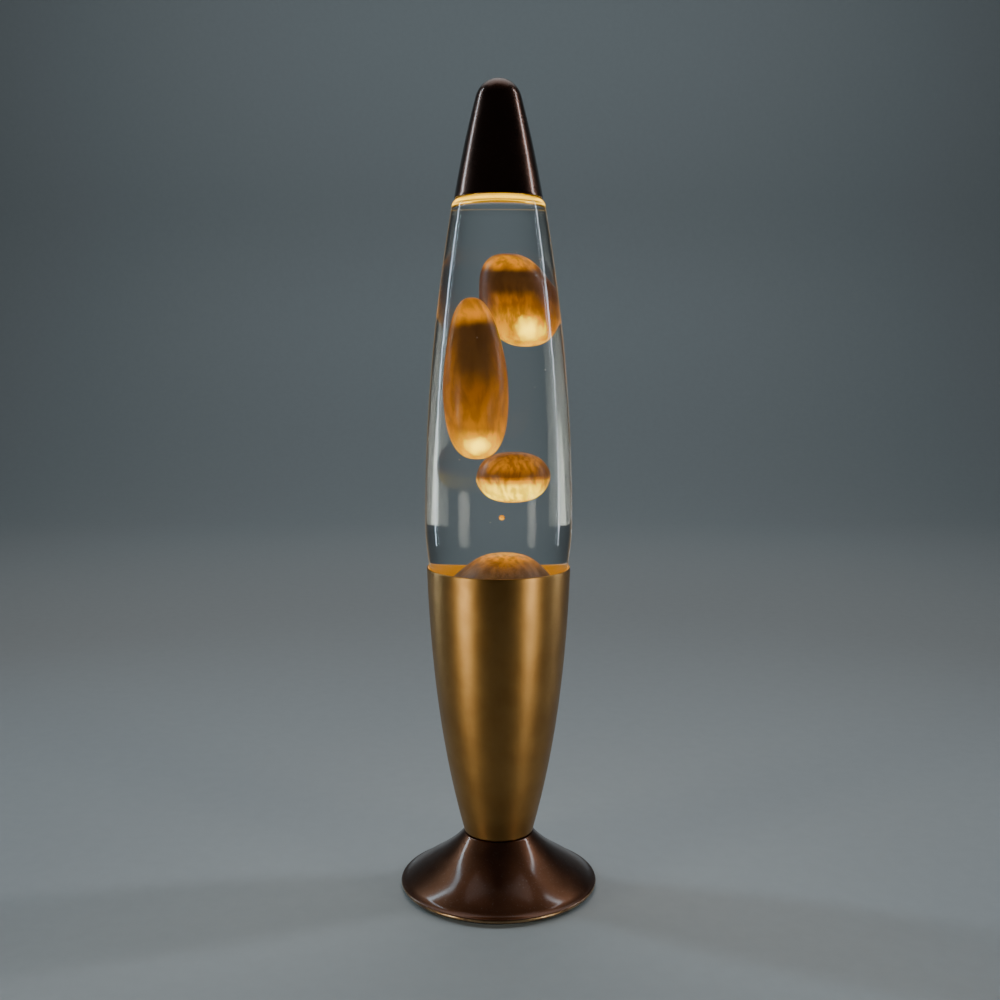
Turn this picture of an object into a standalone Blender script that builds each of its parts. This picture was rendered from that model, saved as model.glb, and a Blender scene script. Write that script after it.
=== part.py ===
"""Liquid motion lamp, built as the separate pieces that it comes apart into.

Units are metres and +Z is up. The origin is on the surface that the lamp stands on, on the lamp's axis.
The front is -Y, and the cord inlet is at the back, at +Y.
"""

import math
from collections import namedtuple

import bmesh
import bpy
import numpy as np
from mathutils import Matrix, Vector

MM = 0.001
WELD = 0.001 * MM
GAP = 0.3 * MM  # between two pieces that touch
SIDES = 28  # round the large turned pieces
SMALL_SIDES = 16  # round the small turned pieces
SHARP_EDGE = math.radians(35)

# Heights above the surface that the lamp stands on.
FOOT_EDGE_Z = 1.6 * MM
FOOT_TOP_Z = 24.0 * MM
BODY_FLOOR_Z = FOOT_TOP_Z + GAP
BODY_RIM_Z = 140.7 * MM
BOTTLE_FLOOR_Z = 104.6 * MM
BOTTLE_WIDEST_Z = 158.6 * MM
POOL_EDGE_Z = 124.5 * MM
POOL_TOP_Z = 148.6 * MM
LIQUID_TOP_Z = 289.6 * MM
SHOULDER_Z = 290.6 * MM
CAP_RIM_Z = 293.8 * MM
BOTTLE_TOP_Z = 307.6 * MM
CAP_TIP_Z = 341.6 * MM

# Outer radii along the lamp.
FOOT_RADIUS = 42.6 * MM
NECK_RADIUS = 15.3 * MM
BODY_FLOOR_RADIUS = 15.05 * MM
BODY_RIM_RADIUS = 30.5 * MM
BOTTLE_FLOOR_RADIUS = 20.6 * MM
BOTTLE_HEEL_RADIUS = 27.33 * MM
BOTTLE_SEAT_RADIUS = 29.45 * MM
BOTTLE_WIDEST_RADIUS = 30.98 * MM
SHOULDER_RADIUS = 19.29 * MM
BOTTLE_NECK_RADIUS = 11.35 * MM
BOTTLE_LIP_RADIUS = 13.0 * MM
CAP_RIM_RADIUS = 18.25 * MM
CAP_DOME_RADIUS = 9.7 * MM

# Wall thicknesses.
SHEET = 0.7 * MM
GLASS = 2.4 * MM

# Foot, its cover and the cord inlet.
BORE_RADIUS = 10.4 * MM  # through the foot's top and the body's floor
COVER_RADIUS = 40.4 * MM
COVER_Z = (1.7 * MM, 2.5 * MM)
PAD_RADII = (36.6 * MM, 40.2 * MM)
PAD_HEIGHT = 1.4 * MM
COVER_SCREW_RADIUS = 1.5 * MM
COVER_SCREW_CIRCLE = 30.5 * MM
COVER_SCREW_ANGLES = (30, 150, 270)
INLET_Z = 8.2 * MM
INLET_BORE = 3.1 * MM
INLET_RADIUS = 3.9 * MM

# Lampholder and bulb, of the standard 14 mm screw size.
HOLDER_RADIUS = 12.5 * MM
HOLDER_BARREL_RADIUS = 10.0 * MM
HOLDER_MOUTH_Z = 46.0 * MM
HOLDER_FLANGE_Z = 26.1 * MM
HOLDER_BOTTOM_Z = 11.8 * MM
TERMINAL_OFFSET = 5.6 * MM
THREAD_RADIUS = 6.95 * MM
BULB_TIP_Z = 22.6 * MM
BULB_CAP_Z = 26.9 * MM
BULB_LENGTH = 66.9 * MM

# Heating coil on the bottle's floor.
COIL_RING_RADIUS = 17.5 * MM
COIL_TURN_RADIUS = 2.0 * MM
COIL_WIRE_RADIUS = 0.5 * MM
COIL_TURNS = 24
COIL_POINTS_PER_TURN = 6

VENT_RADIUS = 0.4 * MM  # of the hairline that joins each wax pocket to the top of the liquid
POOL_SHIFT = 1.8 * MM  # of the pool's dome, towards +X

Finish = namedtuple("Finish", "colour roughness metallic")
BROWN_LACQUER = Finish((0.085, 0.030, 0.016), 0.28, 0.9)
GOLD_METAL = Finish((0.62, 0.40, 0.17), 0.34, 1.0)
CLEAR_GLASS = Finish((0.92, 0.95, 0.96), 0.03, 0.0)
CLEAR_LIQUID = Finish((0.75, 0.80, 0.82), 0.05, 0.0)
AMBER_WAX = Finish((0.95, 0.45, 0.05), 0.35, 0.2)
TINPLATE = Finish((0.70, 0.68, 0.62), 0.3, 1.0)
STEEL = Finish((0.60, 0.60, 0.60), 0.3, 1.0)
BRASS = Finish((0.75, 0.58, 0.25), 0.3, 1.0)
TUNGSTEN = Finish((1.0, 0.75, 0.35), 0.4, 0.6)
BLACK_PLASTIC = Finish((0.02, 0.02, 0.02), 0.5, 0.0)
PHENOLIC = Finish((0.05, 0.035, 0.03), 0.4, 0.0)
BLACK_RUBBER = Finish((0.015, 0.015, 0.015), 0.8, 0.0)
FIBRE = Finish((0.35, 0.10, 0.05), 0.8, 0.0)
LINER = Finish((0.75, 0.75, 0.70), 0.6, 0.0)

# A wax blob is an egg that leans: its middle, its half width, half depth and half height, how far its top
# leans over towards +X, and how much wider it is below its middle.
Blob = namedtuple("Blob", "middle half lean swell")
BLOBS = {
    "wax_blob_upper": Blob((4.8, 9.5, 251.6), (10.4, 9.0, 19.0), -2.6, 0.06),
    "wax_blob_tall": Blob((-8.6, -10.0, 220.1), (11.6, 8.6, 32.5), -1.0, 0.15),
    "wax_blob_oval": Blob((4.0, 9.5, 178.6), (10.4, 9.0, 10.5), 0.0, 0.0),
    "wax_droplet": Blob((1.0, -1.5, 162.8), (0.95, 0.95, 1.0), 0.0, 0.0),
}
BLOB_ROUND = 14
BLOB_RINGS = 8
BLOB_BLUNTNESS = 0.8  # below 1, a blob is fuller towards its two ends than an ellipse


# ---------------------------------------------------------------- outlines, as (radius, height) pairs


def arc(centre, radius, start, end, steps):
    """Points along a circular arc, from one angle to another in degrees."""
    angles = np.radians(np.linspace(start, end, steps + 1))
    points = np.stack([centre[0] + radius * np.cos(angles), centre[1] + radius * np.sin(angles)], axis=1)
    return [tuple(point) for point in points]


def ease(start, end, start_slope, end_slope, steps):
    """Points along the cubic y(x) from start to end with the given dy/dx at each end."""
    share = np.linspace(0, 1, steps + 1)
    run = end[0] - start[0]
    y = (
        (2 * share**3 - 3 * share**2 + 1) * start[1]
        + (share**3 - 2 * share**2 + share) * run * start_slope
        + (3 * share**2 - 2 * share**3) * end[1]
        + (share**3 - share**2) * run * end_slope
    )
    return [(start[0] + s * run, value) for s, value in zip(share, y)]


def ease_up(start, end, start_slope, end_slope, steps):
    """The same for an outline whose radius is a cubic in its height, with slopes in radius per height."""
    points = ease(start[::-1], end[::-1], start_slope, end_slope, steps)
    return [(radius, height) for height, radius in points]


def offset(outline, distance):
    """The outline moved to the left of its direction by a distance. Points on the axis stay on it."""
    points = np.array(outline)
    runs = np.diff(points, axis=0)
    runs /= np.linalg.norm(runs, axis=1)[:, None]
    normals = np.stack([-runs[:, 1], runs[:, 0]], axis=1)
    before = np.vstack([normals[:1], normals])
    after = np.vstack([normals, normals[-1:]])
    mitre = before + after
    mitre *= 2 / np.sum(mitre**2, axis=1)[:, None]
    moved = points + distance * mitre
    moved[points[:, 0] == 0, 0] = 0
    return [tuple(point) for point in moved]


def bottle_wall():
    """The bottle's outside, from the middle of its floor to the top of its neck."""
    heel_z = BOTTLE_FLOOR_Z + 5.85 * MM
    seat = (BOTTLE_SEAT_RADIUS, BODY_RIM_Z)
    widest = (BOTTLE_WIDEST_RADIUS, BOTTLE_WIDEST_Z)
    shoulder = (SHOULDER_RADIUS, SHOULDER_Z)
    bend = 4.0 * MM
    bend_radius = BOTTLE_NECK_RADIUS + bend
    bend_z = SHOULDER_Z - 0.65 * MM
    floor = [(0, BOTTLE_FLOOR_Z + 0.6 * MM), (17.0 * MM, BOTTLE_FLOOR_Z)]
    heel = arc((BOTTLE_FLOOR_RADIUS, BOTTLE_FLOOR_Z + 6.8 * MM), 6.8 * MM, -90, -8, 3)
    return (
        floor
        + heel[:-1]
        + ease_up((BOTTLE_HEEL_RADIUS, heel_z), seat, 0.09, 0.08, 2)[:-1]
        + ease_up(seat, widest, 0.10, 0.0, 2)[:-1]
        + ease_up(widest, shoulder, 0.0, -0.175, 6)
        + arc((bend_radius, bend_z), bend, 30, 90, 2)
        + arc((bend_radius, bend_z + 2 * bend), bend, -90, -180, 2)[1:]
        + [(BOTTLE_NECK_RADIUS, BOTTLE_TOP_Z - 5.0 * MM)]
    )


def inside_bottle():
    """The bottle's inside, less the gap that whatever fills the bottle keeps from it."""
    return offset(bottle_wall(), GLASS + GAP)


def fill_radius(height):
    """How far the bottle's filling reaches from the axis, at a height above the rounded heel."""
    wall = [point for point in inside_bottle() if point[1] > BOTTLE_FLOOR_Z + GLASS + MM]
    radii, heights = np.array(wall).T
    return float(np.interp(height, heights, radii))


def pool_top():
    """The top of the wax pool, a bell curve from the axis out to the bottle's wall."""
    edge = fill_radius(POOL_EDGE_Z)
    share = np.linspace(0, 1, 7)
    height = POOL_EDGE_Z + (POOL_TOP_Z - POOL_EDGE_Z) * (1 + np.cos(math.pi * share**1.4)) / 2
    return [(edge * s, z) for s, z in zip(share, height)]


# ---------------------------------------------------------------- making objects


def clear_scene():
    """Remove every object that the scene starts with."""
    for thing in list(bpy.data.objects):
        bpy.data.objects.remove(thing)


def link(name, data, finish):
    """Put a mesh or curve into the scene as a named object with a material of its own."""
    thing = bpy.data.objects.new(name, data)
    bpy.context.scene.collection.objects.link(thing)
    if not finish:
        return thing
    material = bpy.data.materials.new(name)
    material.use_nodes = True
    shader = material.node_tree.nodes["Principled BSDF"]
    shader.inputs["Base Color"].default_value = (*finish.colour, 1)
    shader.inputs["Roughness"].default_value = finish.roughness
    shader.inputs["Metallic"].default_value = finish.metallic
    data.materials.append(material)
    return thing


def finish_mesh(name, shape, finish):
    """Turn a bmesh into an object, shaded smooth except across sharp edges."""
    bmesh.ops.remove_doubles(shape, verts=shape.verts, dist=WELD)
    bmesh.ops.recalc_face_normals(shape, faces=shape.faces)
    mesh = bpy.data.meshes.new(name)
    shape.to_mesh(mesh)
    shape.free()
    mesh.shade_smooth()
    mesh.set_sharp_from_angle(angle=SHARP_EDGE)
    return link(name, mesh, finish)


def turned(name, outline, finish, sides=SIDES):
    """A piece turned about the lamp's axis. Its outline is a ring, or starts and ends on the axis."""
    shape = bmesh.new()
    points = [shape.verts.new((radius, 0, height)) for radius, height in outline]
    edges = [shape.edges.new(pair) for pair in zip(points, points[1:])]
    if outline[0][0] > 0:
        edges.append(shape.edges.new((points[-1], points[0])))
    bmesh.ops.spin(
        shape,
        geom=points + edges,
        cent=(0, 0, 0),
        axis=(0, 0, 1),
        angle=2 * math.pi,
        steps=sides,
        use_merge=True,
    )
    return finish_mesh(name, shape, finish)


def slab(name, outline, thickness, finish):
    """A flat outline in X and Z, given a thickness along Y about the XZ plane."""
    shape = bmesh.new()
    corners = [shape.verts.new((x, -thickness / 2, z)) for x, z in outline]
    face = shape.faces.new(corners)
    sides = bmesh.ops.extrude_face_region(shape, geom=[face])["geom"]
    moved = [part for part in sides if isinstance(part, bmesh.types.BMVert)]
    bmesh.ops.translate(shape, verts=moved, vec=(0, thickness, 0))
    return finish_mesh(name, shape, finish)


def wire(name, points, radius, finish, closed=False):
    """A round wire along a list of points, with its ends capped or joined."""
    data = bpy.data.curves.new(name, "CURVE")
    data.dimensions = "3D"
    data.bevel_depth = radius
    data.bevel_resolution = 0
    data.use_fill_caps = not closed
    spline = data.splines.new("POLY")
    spline.points.add(len(points) - 1)
    for target, point in zip(spline.points, points):
        target.co = (*point, 1)
    spline.use_cyclic_u = closed
    return link(name, data, finish)


def rod(name, radius, bottom, top, sides=12):
    """A plain cylinder on the Z axis, used as a cutter."""
    shape = bmesh.new()
    bmesh.ops.create_cone(
        shape, cap_ends=True, segments=sides, radius1=radius, radius2=radius, depth=top - bottom
    )
    bmesh.ops.translate(shape, verts=shape.verts, vec=(0, 0, (top + bottom) / 2))
    return finish_mesh(name, shape, None)


def cut(piece, cutter):
    """Take a cutter away from a piece. The cutter stays in the scene as a wire guide."""
    cutter.hide_render = True
    cutter.display_type = "WIRE"
    step = piece.modifiers.new(cutter.name, "BOOLEAN")
    step.operation = "DIFFERENCE"
    step.solver = "EXACT"
    step.object = cutter


def blob_mesh(name, blob, finish, grow=0.0, stem_top=None):
    """An egg-shaped solid, optionally grown all over, and with a thin stem up to a height.

    Ring by ring from the bottom, the section is an ellipse whose size follows the cosine of the ring's
    latitude, raised to a power that makes the ends fuller.
    """
    middle = np.array(blob.middle) * MM
    half = np.array(blob.half) * MM + grow
    latitude = np.linspace(-math.pi / 2, math.pi / 2, BLOB_RINGS + 2)[1:-1]
    around = np.linspace(0, 2 * math.pi, BLOB_ROUND, endpoint=False)
    rise = np.sin(latitude)
    width = np.cos(latitude) ** BLOB_BLUNTNESS * (1 - blob.swell * rise)
    centre_x = middle[0] + blob.lean * MM * rise
    rings = np.stack(
        [
            centre_x[:, None] + half[0] * width[:, None] * np.cos(around),
            middle[1] + half[1] * width[:, None] * np.sin(around),
            np.broadcast_to((middle[2] + half[2] * rise)[:, None], (len(rise), len(around))),
        ],
        axis=2,
    )
    top = np.array([middle[0] + blob.lean * MM, middle[1], middle[2] + half[2]])
    if stem_top:
        circle = VENT_RADIUS * np.stack([np.cos(around), np.sin(around), 0 * around], axis=1)
        rings = np.concatenate([rings, [top + circle], [(top[0], top[1], stem_top) + circle]])
        top = np.array([top[0], top[1], stem_top])
    bottom = np.array([middle[0] - blob.lean * MM, middle[1], middle[2] - half[2]])
    shape = bmesh.new()
    loops = [[shape.verts.new(point) for point in ring] for ring in rings]
    for low, high in zip(loops, loops[1:]):
        for i in range(BLOB_ROUND):
            shape.faces.new((low[i - 1], low[i], high[i], high[i - 1]))
    for pole, loop in ((shape.verts.new(bottom), loops[0]), (shape.verts.new(top), loops[-1])):
        for i in range(BLOB_ROUND):
            shape.faces.new((loop[i - 1], loop[i], pole))
    return finish_mesh(name, shape, finish)


def hang_from(pieces, name, height=0.0, place=(0, 0), parent=None):
    """Parent pieces, where they stand, to an empty on the axis that they move along or about."""
    axis = bpy.data.objects.new(name, None)
    bpy.context.scene.collection.objects.link(axis)
    axis.location = (place[0], place[1], height)
    if parent:
        axis.parent = parent
        axis.matrix_parent_inverse = Matrix.Translation(-parent.matrix_basis.translation)
    for piece in pieces:
        piece.parent = axis
        piece.matrix_parent_inverse = Matrix.Translation(-axis.location)
    return axis


# ---------------------------------------------------------------- foot


def make_foot():
    """The flared foot: a spun sheet with a flat top, a rolled rim and a hole for the cord inlet."""
    lip = (41.6 * MM, 3.2 * MM)
    flare = ease((NECK_RADIUS, FOOT_TOP_Z - 0.4 * MM), (39.8 * MM, 4.2 * MM), -1.2, -0.8, 5)
    skirt = flare + ease(flare[-1], lip, -0.7, -0.3, 2)[1:]
    roll = arc((lip[0], lip[1] - 1.0 * MM), 1.0 * MM, 65, 0, 2)
    inner_edge = FOOT_RADIUS - SHEET
    outline = (
        [(BORE_RADIUS, FOOT_TOP_Z), (NECK_RADIUS - 0.6 * MM, FOOT_TOP_Z)]
        + skirt
        + roll
        + [(FOOT_RADIUS, FOOT_EDGE_Z), (inner_edge, FOOT_EDGE_Z), (inner_edge, lip[1] - 1.0 * MM)]
        + offset(skirt, -SHEET)[::-1]
        + [(NECK_RADIUS - 0.9 * MM, FOOT_TOP_Z - SHEET), (BORE_RADIUS, FOOT_TOP_Z - SHEET)]
    )
    foot = turned("foot_shell", outline, BROWN_LACQUER)
    hole = rod("cord_inlet_hole", INLET_RADIUS + GAP, 26 * MM, 46 * MM, 20)
    turn_to_back(hole)
    cut(foot, hole)
    return foot


def turn_to_back(piece):
    """Lay a piece that was made along +Z along +Y, at the height of the cord inlet."""
    piece.rotation_euler = (-math.pi / 2, 0, 0)
    piece.location = (0, 0, INLET_Z)


def make_cord_inlet():
    """The grommet that lines the cord's hole, with a flange inside the foot."""
    inner, flange, outer = 24.6 * MM, 25.8 * MM, 42.0 * MM
    edge = 0.6 * MM
    outline = [
        (INLET_BORE, outer - edge),
        (INLET_BORE, inner),
        (INLET_RADIUS + 0.8 * MM, inner),
        (INLET_RADIUS + 0.8 * MM, flange),
        (INLET_RADIUS, flange),
        (INLET_RADIUS, outer - edge),
        (INLET_RADIUS - 0.3 * MM, outer),
        (INLET_BORE + 0.3 * MM, outer),
    ]
    grommet = turned("cord_grommet", outline, BLACK_RUBBER, SMALL_SIDES)
    turn_to_back(grommet)
    return grommet


def make_base_cover():
    """The disc that closes the foot from below, with a hole for each of its screws."""
    low, high = COVER_Z
    edge = 0.3 * MM
    outline = [
        (0, high),
        (COVER_RADIUS - edge, high),
        (COVER_RADIUS, high - edge),
        (COVER_RADIUS, low),
        (0, low),
    ]
    cover = turned("base_cover", outline, BLACK_PLASTIC)
    for number, angle in enumerate(COVER_SCREW_ANGLES, 1):
        hole = rod(f"base_cover_hole_{number}", COVER_SCREW_RADIUS + GAP, low - MM, high + MM)
        hole.location = on_circle(COVER_SCREW_CIRCLE, angle)
        cut(cover, hole)
    return cover


def make_pad():
    """The rubber ring under the base cover, which the lamp stands on."""
    inner, outer = PAD_RADII
    outline = [(inner, PAD_HEIGHT), (outer, PAD_HEIGHT), (outer, 0), (inner, 0)]
    return turned("foot_pad_ring", outline, BLACK_RUBBER)


def on_circle(radius, angle):
    """A place on a circle about the lamp's axis."""
    return Vector((radius * math.cos(math.radians(angle)), radius * math.sin(math.radians(angle)), 0))


def make_cover_screws():
    """Each cover screw, and the angled tab inside the foot that it screws into."""
    head_z = 0.8 * MM
    seat_z = COVER_Z[0] - GAP
    tip_z = 7.0 * MM
    head_radius = 2.8 * MM
    screw_outline = [
        (0, tip_z),
        (COVER_SCREW_RADIUS - 0.6 * MM, tip_z),
        (COVER_SCREW_RADIUS, tip_z - 0.8 * MM),
        (COVER_SCREW_RADIUS, seat_z),
        (head_radius, seat_z),
        (head_radius, head_z + 0.2 * MM),
        (head_radius - 0.5 * MM, head_z),
        (0, head_z),
    ]
    leg, thick, reach = 26.0 * MM, 1.2 * MM, 34.0 * MM
    low, floor_top = 3.2 * MM, 4.4 * MM
    tab_outline = [
        (leg, low),
        (reach, low),
        (reach, floor_top),
        (leg + thick, floor_top),
        (leg + thick, 11.7 * MM),
        (leg, 12.5 * MM),
    ]
    pieces = []
    for number, angle in enumerate(COVER_SCREW_ANGLES, 1):
        screw = turned(f"base_screw_{number}", screw_outline, STEEL, 12)
        screw.location = on_circle(COVER_SCREW_CIRCLE, angle)
        tab = slab(f"cover_tab_{number}", tab_outline, 7.0 * MM, TINPLATE)
        tab.rotation_euler = (0, 0, math.radians(angle))
        hole = rod(f"cover_tab_hole_{number}", COVER_SCREW_RADIUS + GAP, low - MM, floor_top + MM)
        hole.location = screw.location
        cut(tab, hole)
        pieces += [screw, tab]
    return pieces


# ---------------------------------------------------------------- body and lampholder


def make_body():
    """The spun cup that holds the bottle: a tapered wall, a rounded heel and a floor with a hole."""
    heel = arc((BODY_FLOOR_RADIUS - 1.1 * MM, BODY_FLOOR_Z + 1.2 * MM), 1.2 * MM, -90, -15, 2)
    wall_foot = (BODY_FLOOR_RADIUS + 0.1 * MM, BODY_FLOOR_Z + 1.3 * MM)
    wall = ease_up(wall_foot, (BODY_RIM_RADIUS, BODY_RIM_Z), 0.269, 0.036, 7)
    outside = heel + wall
    outline = (
        [(BORE_RADIUS, BODY_FLOOR_Z)]
        + outside
        + offset(outside, SHEET)[::-1]
        + [(BORE_RADIUS, BODY_FLOOR_Z + SHEET)]
    )
    return turned("body_shell", outline, GOLD_METAL)


def washer(name, inner, outer, bottom, top, finish):
    """A flat ring about the lamp's axis."""
    outline = [(inner, top), (outer, top), (outer, bottom), (inner, bottom)]
    return turned(name, outline, finish, SMALL_SIDES)


def make_clamp():
    """The ring on the lampholder's barrel that draws foot and body together, and the two washers."""
    above = BODY_FLOOR_Z + SHEET
    below = FOOT_TOP_Z - SHEET
    ring_top = below - 1.4 * MM
    ring_bottom = ring_top - 3.2 * MM
    seat = washer("seat_washer", BORE_RADIUS, 13.6 * MM, above + GAP, HOLDER_FLANGE_Z - GAP, FIBRE)
    under = washer("clamp_washer", BORE_RADIUS, 13.6 * MM, ring_top + GAP, below - GAP, STEEL)
    ring = washer("clamp_ring", HOLDER_BARREL_RADIUS + GAP, 13.4 * MM, ring_bottom, ring_top, PHENOLIC)
    return [seat, under, ring]


def make_lampholder():
    """The holder's housing, its threaded shell, its sprung centre contact and its two terminal screws."""
    bore = 8.1 * MM
    pocket_floor = 17.8 * MM
    edge = 0.5 * MM
    housing_outline = [
        (0, pocket_floor),
        (bore, pocket_floor),
        (bore, HOLDER_MOUTH_Z - edge),
        (bore + edge, HOLDER_MOUTH_Z),
        (HOLDER_RADIUS - edge, HOLDER_MOUTH_Z),
        (HOLDER_RADIUS, HOLDER_MOUTH_Z - edge),
        (HOLDER_RADIUS, HOLDER_FLANGE_Z),
        (HOLDER_BARREL_RADIUS, HOLDER_FLANGE_Z),
        (HOLDER_BARREL_RADIUS, HOLDER_BOTTOM_Z + edge),
        (HOLDER_BARREL_RADIUS - edge, HOLDER_BOTTOM_Z),
        (0, HOLDER_BOTTOM_Z),
    ]
    housing = turned("lampholder_housing", housing_outline, PHENOLIC, SMALL_SIDES)
    inner = THREAD_RADIUS + 0.4 * MM
    outer = inner + 0.4 * MM
    shell_foot, shell_mouth = 25.5 * MM, HOLDER_MOUTH_Z - 1.5 * MM
    shell = washer("lampholder_screw_shell", inner, outer, shell_foot, shell_mouth, BRASS)
    spring_top = BULB_TIP_Z - GAP
    leaf = 0.4 * MM
    foot_z = pocket_floor + GAP
    heel_x, knee_x, bend_x, toe_x = -5.0 * MM, -2.2 * MM, 0.6 * MM, 2.6 * MM
    contact_outline = [
        (heel_x, foot_z + leaf),
        (knee_x, foot_z + leaf),
        (bend_x, spring_top),
        (toe_x, spring_top),
        (toe_x, spring_top - leaf),
        (bend_x + leaf / 2, spring_top - leaf),
        (knee_x + leaf / 2, foot_z),
        (heel_x, foot_z),
    ]
    contact = slab("lampholder_centre_contact", contact_outline, 3.6 * MM, BRASS)
    pieces = [housing, shell, contact]
    shank, head = 1.4 * MM, 2.4 * MM
    hole_top = HOLDER_BOTTOM_Z + 4.0 * MM
    head_top = HOLDER_BOTTOM_Z - GAP
    screw_outline = [
        (0, hole_top - GAP),
        (shank, hole_top - GAP),
        (shank, head_top),
        (head, head_top),
        (head, head_top - 1.4 * MM),
        (0, head_top - 1.4 * MM),
    ]
    for number, side in enumerate((-1, 1), 1):
        screw = turned(f"terminal_screw_{number}", screw_outline, BRASS, 12)
        screw.location.x = side * TERMINAL_OFFSET
        hole = rod(f"terminal_hole_{number}", shank + GAP, HOLDER_BOTTOM_Z - MM, hole_top)
        hole.location.x = side * TERMINAL_OFFSET
        cut(housing, hole)
        pieces.append(screw)
    return pieces


# ---------------------------------------------------------------- bulb


def make_bulb_tip():
    """The solder contact at the bulb's foot: a button on a short stud."""
    head_top = BULB_TIP_Z + 1.3 * MM
    outline = [
        (0, head_top + 2.1 * MM),
        (1.3 * MM, head_top + 2.1 * MM),
        (1.3 * MM, head_top),
        (2.8 * MM, head_top),
        (2.8 * MM, BULB_TIP_Z + 0.6 * MM),
        (1.6 * MM, BULB_TIP_Z),
        (0, BULB_TIP_Z),
    ]
    return turned("bulb_tip_contact", outline, TINPLATE, SMALL_SIDES)


def make_bulb():
    """The reflector bulb: envelope, screw cap, insulator, stem, lead wires and filament."""
    face_z = BULB_TIP_Z + BULB_LENGTH
    neck_bottom = 36.0 * MM
    neck_radius = 6.2 * MM
    wall = 0.7 * MM
    waist = (8.6 * MM, 53.0 * MM)
    crown = ease((0, face_z), (15.6 * MM, face_z - 3.6 * MM), 0.0, -0.55, 4)
    rim = arc((15.5 * MM, face_z - 7.6 * MM), 4.0 * MM, 50, -20, 2)
    cone = ease_up((18.6 * MM, face_z - 12.2 * MM), waist, 0.62, 0.18, 4)
    outside = crown + rim + cone + [(neck_radius, waist[1] - 5.0 * MM), (neck_radius, neck_bottom)]
    envelope = turned("bulb_envelope", outside + offset(outside, -wall)[::-1], CLEAR_GLASS, SMALL_SIDES)

    skin = 0.4 * MM
    rolled_z = HOLDER_MOUTH_Z - 0.5 * MM
    cap_outline = [
        (THREAD_RADIUS, rolled_z),
        (THREAD_RADIUS + skin, rolled_z + 1.2 * MM),
        (THREAD_RADIUS, rolled_z + 1.2 * MM),
        (THREAD_RADIUS - skin, rolled_z),
        (THREAD_RADIUS - skin, BULB_CAP_Z + skin),
        (4.0 * MM, BULB_CAP_Z + skin),
        (4.0 * MM, BULB_CAP_Z),
        (THREAD_RADIUS, BULB_CAP_Z),
    ]
    cap = turned("bulb_screw_cap", cap_outline, BRASS, SMALL_SIDES)
    insulator_low = BULB_TIP_Z + 1.6 * MM
    insulator_outline = [
        (1.6 * MM, BULB_CAP_Z - GAP),
        (5.4 * MM, BULB_CAP_Z - GAP),
        (3.2 * MM, insulator_low),
        (1.6 * MM, insulator_low),
    ]
    insulator = turned("bulb_insulator", insulator_outline, BLACK_PLASTIC, SMALL_SIDES)

    stem_top = 62.0 * MM
    stem_outline = [
        (0, stem_top),
        (1.7 * MM, stem_top),
        (2.0 * MM, 48.0 * MM),
        (neck_radius - wall - GAP, 40.0 * MM),
        (neck_radius - wall - GAP, neck_bottom),
        (0, neck_bottom),
    ]
    stem = turned("bulb_stem", stem_outline, CLEAR_GLASS, SMALL_SIDES)
    pieces = [envelope, cap, insulator, stem]
    lead_top = 72.0 * MM
    lead_reach = 6.0 * MM
    for number, side in enumerate((-1, 1), 1):
        path = [(side * x * MM, 0, z * MM) for x, z in ((0.9, 62.4), (1.4, 65.0), (4.6, 69.5))]
        path.append((side * lead_reach, 0, lead_top))
        pieces.append(wire(f"bulb_lead_{number}", path, 0.3 * MM, STEEL))
    span = np.linspace(-1, 1, 9)
    filament_path = [(x * lead_reach, 0, lead_top + 0.7 * MM + 1.2 * MM * (1 - x * x)) for x in span]
    pieces.append(wire("bulb_filament", filament_path, 0.25 * MM, TUNGSTEN))
    return pieces


# ---------------------------------------------------------------- bottle and what it holds


def make_glass():
    """The bottle: a hollow wall of even thickness, open at its neck, with a lip for the closure."""
    outside = bottle_wall()
    lip_low = BOTTLE_TOP_Z - 4.4 * MM
    lip = [
        (BOTTLE_LIP_RADIUS, lip_low),
        (BOTTLE_LIP_RADIUS, BOTTLE_TOP_Z - 0.8 * MM),
        (BOTTLE_LIP_RADIUS - 0.7 * MM, BOTTLE_TOP_Z),
        (BOTTLE_NECK_RADIUS - GLASS, BOTTLE_TOP_Z),
    ]
    return turned("bottle_glass", outside + lip + offset(outside, GLASS)[::-1], CLEAR_GLASS)


def make_closure():
    """The crown closure crimped over the bottle's lip, and the liner that seals it."""
    top = BOTTLE_TOP_Z + 1.6 * MM
    tin = 0.35 * MM
    skirt_z = BOTTLE_TOP_Z - 4.6 * MM
    skirt_radius = BOTTLE_LIP_RADIUS + GAP + tin
    outside = [
        (0, top),
        (skirt_radius - 1.4 * MM, top),
        (skirt_radius - 0.2 * MM, top - 1.0 * MM),
        (skirt_radius + 0.1 * MM, skirt_z),
    ]
    closure = turned("crown_closure", outside + offset(outside, -tin)[::-1], TINPLATE)
    liner_radius = BOTTLE_LIP_RADIUS - 1.4 * MM
    bottom, high = BOTTLE_TOP_Z + GAP, top - tin - GAP
    liner_outline = [(0, high), (liner_radius, high), (liner_radius, bottom), (0, bottom)]
    liner = turned("closure_liner", liner_outline, LINER)
    return [closure, liner]


def lean_pool(piece):
    """Shift the pool's dome sideways, by an amount that grows smoothly with height above its edge.

    On the liquid this moves only the surface that lies on the dome, and not the wall round it.
    """
    edge = fill_radius(POOL_EDGE_Z)
    for vertex in piece.data.vertices:
        if vertex.co.z > POOL_TOP_Z + MM or vertex.co.xy.length > edge:
            continue
        share = max((vertex.co.z - POOL_EDGE_Z) / (POOL_TOP_Z - POOL_EDGE_Z), 0)
        vertex.co.x += POOL_SHIFT * share * share * (3 - 2 * share)


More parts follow.
